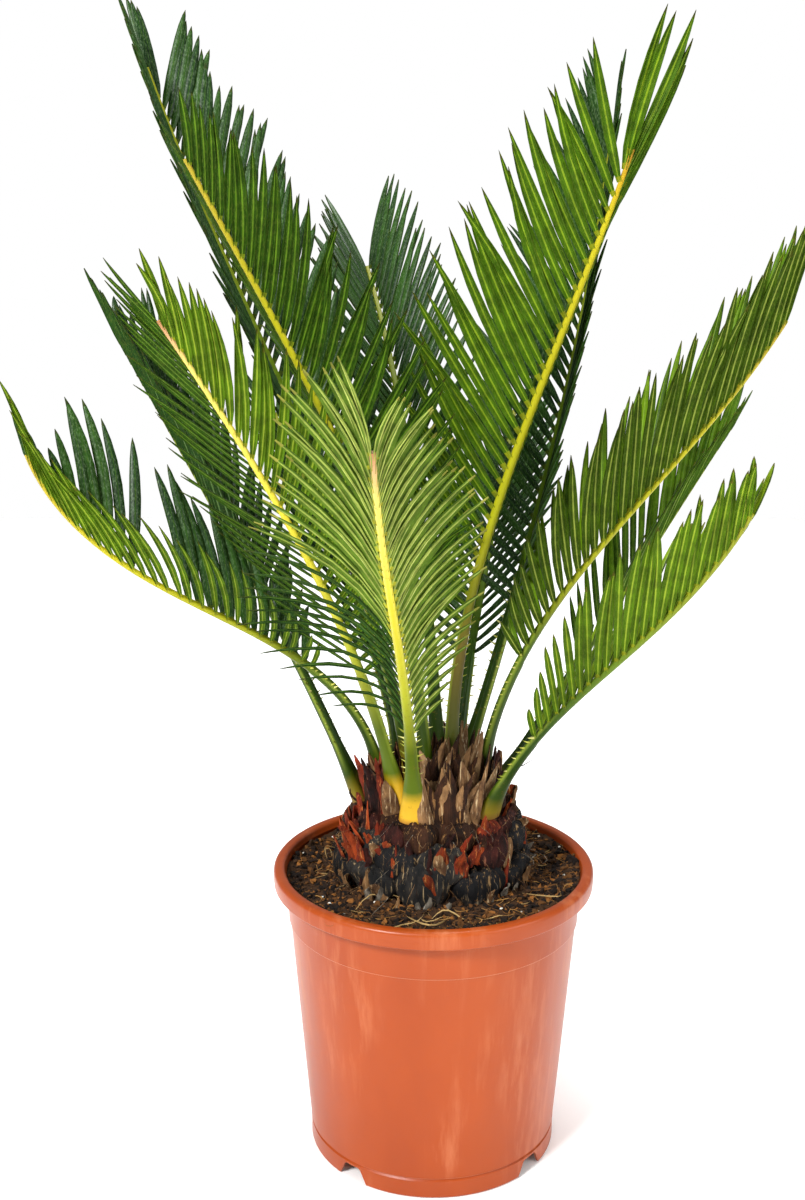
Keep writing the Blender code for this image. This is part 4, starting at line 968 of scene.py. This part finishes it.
trunk = {
    "foot": 0.1493, "sides": 120, "rings": 30, "domeRings": 20, "relief": 0.0011, "lumpsPerMetre": 130,
    "profile": ((0.0, 0.0430), (0.005, 0.0440), (0.012, 0.0432), (0.019, 0.0418), (0.027, 0.0400),
                (0.035, 0.0386), (0.041, 0.0378)),      # height and radius
    # old leaf bases in rows: how many, first azimuth, height of the middle, radius there, width, height,
    # thickness, lean, and the kinds of bark that turn up in it
    "rows": ((10, -97, 0.1630, 0.0425, 0.0305, 0.0290, 0.0165, 3,
              "charcoal charcoal charcoal slate maroon charcoal"),
             (11, -115, 0.1765, 0.0405, 0.0255, 0.0240, 0.0150, -8,
              "charcoal charcoal maroon slate charcoal brown"),
             (14, -100, 0.1860, 0.0378, 0.0180, 0.0180, 0.0110, -22,
              "brown maroon rust charcoal brown maroon")),
    "baseShapes": 7,
    # height and radius over the bases
    "outside": ((0.150, 0.0512), (0.162, 0.0508), (0.175, 0.0476), (0.186, 0.0428), (0.196, 0.0402)),
    "bark": {       # dark, light, fibres
        "charcoal": ("#08090b", "#1d1c1d", "#9a7a50"), "slate": ("#141516", "#34302c", "#a8906a"),
        "maroon": ("#160a08", "#3a1610", "#84503a"), "rust": ("#4c1a0e", "#8c3016", "#c07038"),
        "ember": ("#5c200c", "#a04018", "#dc9450"), "tan": ("#4a3220", "#967048", "#d8bc90"),
        "straw": ("#6a4c30", "#a8845c", "#dcc6a0"), "brown": ("#140b06", "#3c2212", "#a07444"),
        "ash": ("#4c463e", "#8c8374", "#cdc6b8"),
    },
    "clouds": 6.667, "fibres": 1.5625,      # patterns in mm; the fibres are coarser than real ones, to show
}
barkKinds = list(trunk["bark"])
# torn dry scales on the trunk: how many, azimuths, heights, widths, lengths, kinds
flakes = {
    "lean": (-10, 16), "roll": (-28, 28), "depth": (0.005, 0.010), "sink": 0.005, "shapes": 6,
    "groups": ((36, (-180, 180), (0.170, 0.192), (0.003, 0.007), (0.009, 0.018),
                "rust brown ember maroon tan"),
               (16, (-180, 180), (0.160, 0.180), (0.003, 0.006), (0.010, 0.020),
                "ember rust maroon tan slate"),
               (44, (-180, 180), (0.155, 0.161), (0.003, 0.007), (0.006, 0.012), "ash tan ash slate"),
               (18, (-168, -140), (0.166, 0.188), (0.004, 0.008), (0.014, 0.022), "rust ember rust ember"),
               (22, (-140, -56), (0.170, 0.186), (0.003, 0.007), (0.009, 0.018), "ember rust maroon rust")),
}
# papery scales on the dome: how many, azimuths, radii, widths, lengths, kinds
papers = {
    "lean": (-10, 12), "roll": (-16, 16), "depth": (0.007, 0.011), "sink": 0.005, "shapes": 7,
    "groups": ((34, (-96, -38), (0.020, 0.0385), (0.007, 0.014), (0.022, 0.044), "tan brown straw brown"),
               (18, (-168, -134), (0.029, 0.0385), (0.007, 0.012), (0.018, 0.034),
                "rust brown maroon brown tan"),
               (50, (-36, 192), (0.026, 0.0385), (0.007, 0.013), (0.016, 0.036), "brown tan brown maroon"),
               (30, (-180, 180), (0.006, 0.022), (0.007, 0.012), (0.020, 0.038), "brown tan brown")),
}
hairs = {
    "count": 260, "heights": (0.155, 0.192), "radius": 0.0492, "loss": 0.0062, "lossZone": (0.162, 0.030),
    "lengths": (0.006, 0.016), "thickness": (0.00015, 0.0003), "kinds": "tan ash brown tan", "shapes": 6,
    # thin dead stalks: azimuth, radius, height of the middle, lean, length, thickness
    "hooks": ((-166, 0.0405, 0.196, 10, 0.014, 0.0016), (-24, 0.0385, 0.209, -30, 0.030, 0.0012),
              (64, 0.036, 0.207, 14, 0.024, 0.0012), (150, 0.037, 0.205, 24, 0.022, 0.0014)),
}


def barkMaterial(name, colours):
    # dried leaf bases: matt, split lengthwise into fibres that catch the light
    material, tree, shader = newMaterial("bark_" + name, Roughness=0.78, IOR=1.4, Specular_IOR_Level=0.25)
    cloud = addNode(tree, "ShaderNodeValToRGB", stops=((0.38, colours[0]), (0.64, colours[1])),
                    Fac=addPattern(tree, trunk["clouds"], (1, 1, 0.5), 5, 0.65)).outputs["Color"]
    lines = addPattern(tree, trunk["fibres"], (1, 1, 0.06), 5, 0.7)
    mask = addNode(tree, "ShaderNodeValToRGB", stops=((0.57, 0.0), (0.66, 0.9)), Fac=lines).outputs["Color"]
    mixed = addNode(tree, "ShaderNodeMix", {"data_type": "RGBA"}, n0=mask, n6=cloud, n7=toLinear(colours[2]))
    bump = addNode(tree, "ShaderNodeBump", Height=lines, Strength=1.0, Distance=0.0014)
    setInputs(tree, shader, Base_Color=mixed.outputs[2], Normal=bump.outputs["Normal"])
    return material


def onTrunk(azimuth, radius, height, lean=0.0, roll=0.0):
    # a place whose +Y points out of the trunk, and whose +Z points up, leaning out by lean degrees
    angle = math.radians(azimuth)
    place = Matrix.Translation((*polar(radius, angle), height)) @ Matrix.Rotation(angle - math.pi / 2, 4, "Z")
    place = place @ Matrix.Rotation(math.radians(-lean), 4, "X")
    return place @ Matrix.Rotation(math.radians(roll), 4, "Y")


def anyOf(chance, names):
    return barkKinds.index(chance.choice(names.split()))


def makeBase(seed):
    # an old leaf base: a thick rounded diamond, fibrous from top to bottom and torn off along its top
    bpy.ops.mesh.primitive_cube_add(size=1)
    item = bpy.context.object
    pickAll(item)
    bpy.ops.mesh.subdivide(number_cuts=17, smoothness=0.0)
    endEdit()
    torn = 0.26     # where the torn top starts
    for vert in item.data.vertices:
        ball = vert.co.normalized() * 0.5
        vert.co = vert.co.lerp(ball, 0.78)
        wide = 1.12 - 0.50 * abs(vert.co.z * 2) ** 1.8
        ridge = noise.noise(Vector((vert.co.x * 11, vert.co.y * 3, vert.co.z * 1.1 + seed * 5)))
        fine = noise.noise(Vector((vert.co.x * 30, vert.co.y * 8, vert.co.z * 2 + seed * 3)))
        lump = noise.noise(vert.co * 2.4 + Vector((seed * 3.3, 0, 0)))
        vert.co.x *= wide * (1 + 0.12 * lump)
        vert.co.y *= 1 + 0.14 * ridge + 0.08 * fine + 0.22 * lump
        if vert.co.z > torn:
            vert.co.z = torn + (vert.co.z - torn) * 0.45 + 0.10 * ridge + 0.06 * fine
            vert.co.y *= 0.92
    return shapeOf(item)


def makeFlake(seed, pointed, curl, cup):
    # a thin dry scale one unit wide and one tall, rolled lengthwise and ragged at its top
    bpy.ops.mesh.primitive_grid_add(x_subdivisions=8, y_subdivisions=14, size=1)
    item = bpy.context.object
    for vert in item.data.vertices:
        across, up = vert.co.x, vert.co.y + 0.5
        if pointed:
            narrow = max((1 - up) ** 0.7 * (0.7 + 0.5 * min(up * 4, 1.0)), 0.03)
        else:
            narrow = max(0.75 + 0.3 * math.sin(math.pi * up) - 0.4 * up ** 3, 0.03)
        wave = 0.09 * noise.noise(Vector((across * 5, up * 4, seed * 4)))
        ragged = 0.22 * noise.noise(Vector((across * 8, seed * 2, 0))) * up ** 2
        crease = 0.05 * noise.noise(Vector((across * 14, up * 2, seed * 6)))
        twist = (seed % 3 - 1) * 0.7 * up
        x, y = (across + wave) * narrow, (crease - cup * across * across * 2) * narrow
        vert.co = (x * math.cos(twist) - y * math.sin(twist) + 0.14 * math.sin(up * 3 + seed) * up,
                   x * math.sin(twist) + y * math.cos(twist) + curl * up * up + wave, up + ragged)
    thick = item.modifiers.new("thick", "SOLIDIFY")
    thick.thickness = 0.045
    pickAll(item, "OBJECT")
    bpy.ops.object.modifier_apply(modifier="thick")
    return shapeOf(item)


def makeCore(bark):
    # the trunk's own body up its sides and over its dome, under the bases and scales
    heights, radii = zip(*trunk["profile"])
    rings = []
    for n in range(trunk["rings"]):
        height = heights[-1] * n / (trunk["rings"] - 1)
        rings.append((float(np.interp(height, heights, radii)), trunk["foot"] + height))
    for n in range(1, trunk["domeRings"]):
        radius = radii[-1] * (1 - n / trunk["domeRings"])
        rings.append((radius, domeLevel(radius) - 0.0004))
    points, sides = [], trunk["sides"]
    for radius, height in rings:
        for side in range(sides):
            angle = math.tau * side / sides
            spot = Vector((*polar(radius, angle), height))
            push = trunk["relief"] * noise.fractal(spot * trunk["lumpsPerMetre"], 0.8, 2.1, 4)
            points.append(spot + Vector((*polar(1, angle), 0.2)) * push)
    material = bark[barkKinds.index("brown")]
    item = pieceFrom("trunk_core", points, tubeFaces(len(rings), sides), [material], smooth=50)
    finishPiece(item, "trunk_bark", "trunk")


def makeBases(bark, chance):
    copies = []
    for count, first, height, radius, wide, tall, thick, lean, names in trunk["rows"]:
        for n in range(count):
            azimuth = first + 360 * n / count + chance.uniform(-4, 4)
            middle = height + chance.uniform(-0.002, 0.002)
            place = onTrunk(azimuth, radius, middle, lean + chance.uniform(-6, 6), chance.uniform(-14, 14))
            size = (wide * chance.uniform(0.84, 1.1), thick * chance.uniform(0.9, 1.25),
                    tall * chance.uniform(0.86, 1.15), 1)
            shape = chance.randrange(trunk["baseShapes"])
            copies.append((shape, place @ Matrix.Diagonal(size), anyOf(chance, names)))
    shapes = [makeBase(n) for n in range(trunk["baseShapes"])]
    finishPiece(joinCopies("trunk_bases", shapes, copies, bark, 45), "trunk_bark")


def makeScales(name, scales, shapes, spotAt, bark, chance):
    # spotAt turns a group's height or radius into a radius and a height on the trunk
    copies = []
    for count, azimuths, spots, widths, lengths, names in scales["groups"]:
        for n in range(count):
            radius, height = spotAt(chance.uniform(*spots))
            place = onTrunk(chance.uniform(*azimuths), radius, height - scales["sink"],
                            chance.uniform(*scales["lean"]), chance.uniform(*scales["roll"]))
            size = (chance.uniform(*widths), chance.uniform(*scales["depth"]), chance.uniform(*lengths), 1)
            copies.append((n % len(shapes), place @ Matrix.Diagonal(size), anyOf(chance, names)))
    finishPiece(joinCopies(name, shapes, copies, bark, 50), "trunk_bark")


def makeHairs(bark, chance):
    copies = []
    for n in range(hairs["count"]):
        height = chance.uniform(*hairs["heights"])
        start, width = hairs["lossZone"]
        radius = hairs["radius"] - hairs["loss"] * max(0.0, (height - start) / width)
        place = onTrunk(chance.uniform(-180, 180), radius, height, -6)
        place = place @ Matrix.Rotation(math.radians(90 + chance.gauss(0, 12)), 4, "Y")
        length, thick = chance.uniform(*hairs["lengths"]), chance.uniform(*hairs["thickness"])
        copies.append((n % hairs["shapes"], place, length, thick, anyOf(chance, hairs["kinds"])))
    for n, (azimuth, radius, height, lean, length, thick) in enumerate(hairs["hooks"]):
        place = onTrunk(azimuth, radius, height, 6) @ Matrix.Rotation(math.radians(90 + lean), 4, "Y")
        copies.append((n + 1, place, length, thick, barkKinds.index("brown")))
    threads = [makeThread(n, 0.4 + 0.5 * n) for n in range(hairs["shapes"])]
    finishPiece(joinThreads("trunk_hairs", threads, copies, bark), "trunk_bark")


def makeTrunk():
    chance = random.Random(8)
    bark = [barkMaterial(kind, colours) for kind, colours in trunk["bark"].items()]
    outsideHeights, outsideRadii = zip(*trunk["outside"])
    makeCore(bark)
    makeBases(bark, chance)
    torn = [makeFlake(n, n % 2 == 0, 0.12 * (n - 2), 0.5) for n in range(flakes["shapes"])]
    makeScales("trunk_flakes", flakes, torn,
               lambda height: (float(np.interp(height, outsideHeights, outsideRadii)), height), bark, chance)
    papery = [makeFlake(20 + n, True, 0.14 * (n - 3), 0.9) for n in range(papers["shapes"])]
    makeScales("trunk_papers", papers, papery, lambda radius: (radius, domeLevel(radius)), bark, chance)
    makeHairs(bark, chance)
    print("trunk made")


makeTrunk()


# floor, light and camera

studio = {
    "floorSize": 3.6, "floorLevel": -0.0005, "floorColour": "#fdfdfc",
    # the floor glows a little, so its far edge doesn't show, but not in the hollow under the pot
    "glow": 0.20, "glowFrom": 0.060, "glowTo": 0.070,
    "aim": (0, 0, 0.3),
    "lights": (("key", (-1.1, -1.4, 1.6), 0.5, 60), ("fill", (1.5, -1.0, 0.9), 1.2, 18),
               ("top", (0.1, 0.3, 2.1), 0.8, 34)),      # name, location, size, power
    "backdrop": 1.0, "backdropLight": 0.36,     # what the camera sees of it, and what it gives the plant
    "camera": (-0.0164, -0.7434, 0.4866), "lookDown": 13.98, "lens": 45, "sensor": 36,
}


def makeFloor():
    bpy.ops.mesh.primitive_plane_add(size=studio["floorSize"], location=(0, 0, studio["floorLevel"]))
    floor = bpy.context.object
    floor.name = "studio_floor"
    material, tree, shader = newMaterial("studio_white", Roughness=0.9, IOR=1.45, Emission_Color=(1, 1, 1, 1),
                                         Base_Color=toLinear(studio["floorColour"]))
    spot = addNode(tree, "ShaderNodeTexCoord").outputs["Object"]
    away = addNode(tree, "ShaderNodeVectorMath", {"operation": "LENGTH"}, n0=spot).outputs["Value"]
    glow = addNode(tree, "ShaderNodeMapRange", Value=away, From_Min=studio["glowFrom"],
                   From_Max=studio["glowTo"], To_Min=0.0, To_Max=studio["glow"])
    setInputs(tree, shader, Emission_Strength=glow.outputs["Result"])
    floor.data.materials.append(material)


def makeLights():
    for name, location, size, power in studio["lights"]:
        data = bpy.data.lights.new(name, "AREA")
        data.size = size
        data.energy = power
        item = bpy.data.objects.new(name, data)
        item.location = location
        aim = Vector(studio["aim"]) - Vector(location)
        item.rotation_euler = aim.to_track_quat("-Z", "Y").to_euler()
        bpy.context.collection.objects.link(item)
    world = bpy.data.worlds.new("studio")
    world.use_nodes = True
    tree = world.node_tree
    seen = addNode(tree, "ShaderNodeLightPath").outputs["Is Camera Ray"]
    strength = addNode(tree, "ShaderNodeMapRange", Value=seen, To_Min=studio["backdropLight"],
                       To_Max=studio["backdrop"]).outputs["Result"]
    setInputs(tree, tree.nodes["Background"], Color=(1, 1, 1, 1), Strength=strength)
    bpy.context.scene.world = world
    bpy.context.scene.view_settings.view_transform = "Standard"


def makeCamera():
    data = bpy.data.cameras.new("camera")
    data.lens = studio["lens"]
    data.sensor_width = studio["sensor"]
    camera = bpy.data.objects.new("camera", data)
    camera.location = studio["camera"]
    camera.rotation_euler = (math.radians(90 - studio["lookDown"]), 0, 0)
    bpy.context.collection.objects.link(camera)
    bpy.context.scene.camera = camera


makeFloor()
makeLights()
makeCamera()
print("studio made")
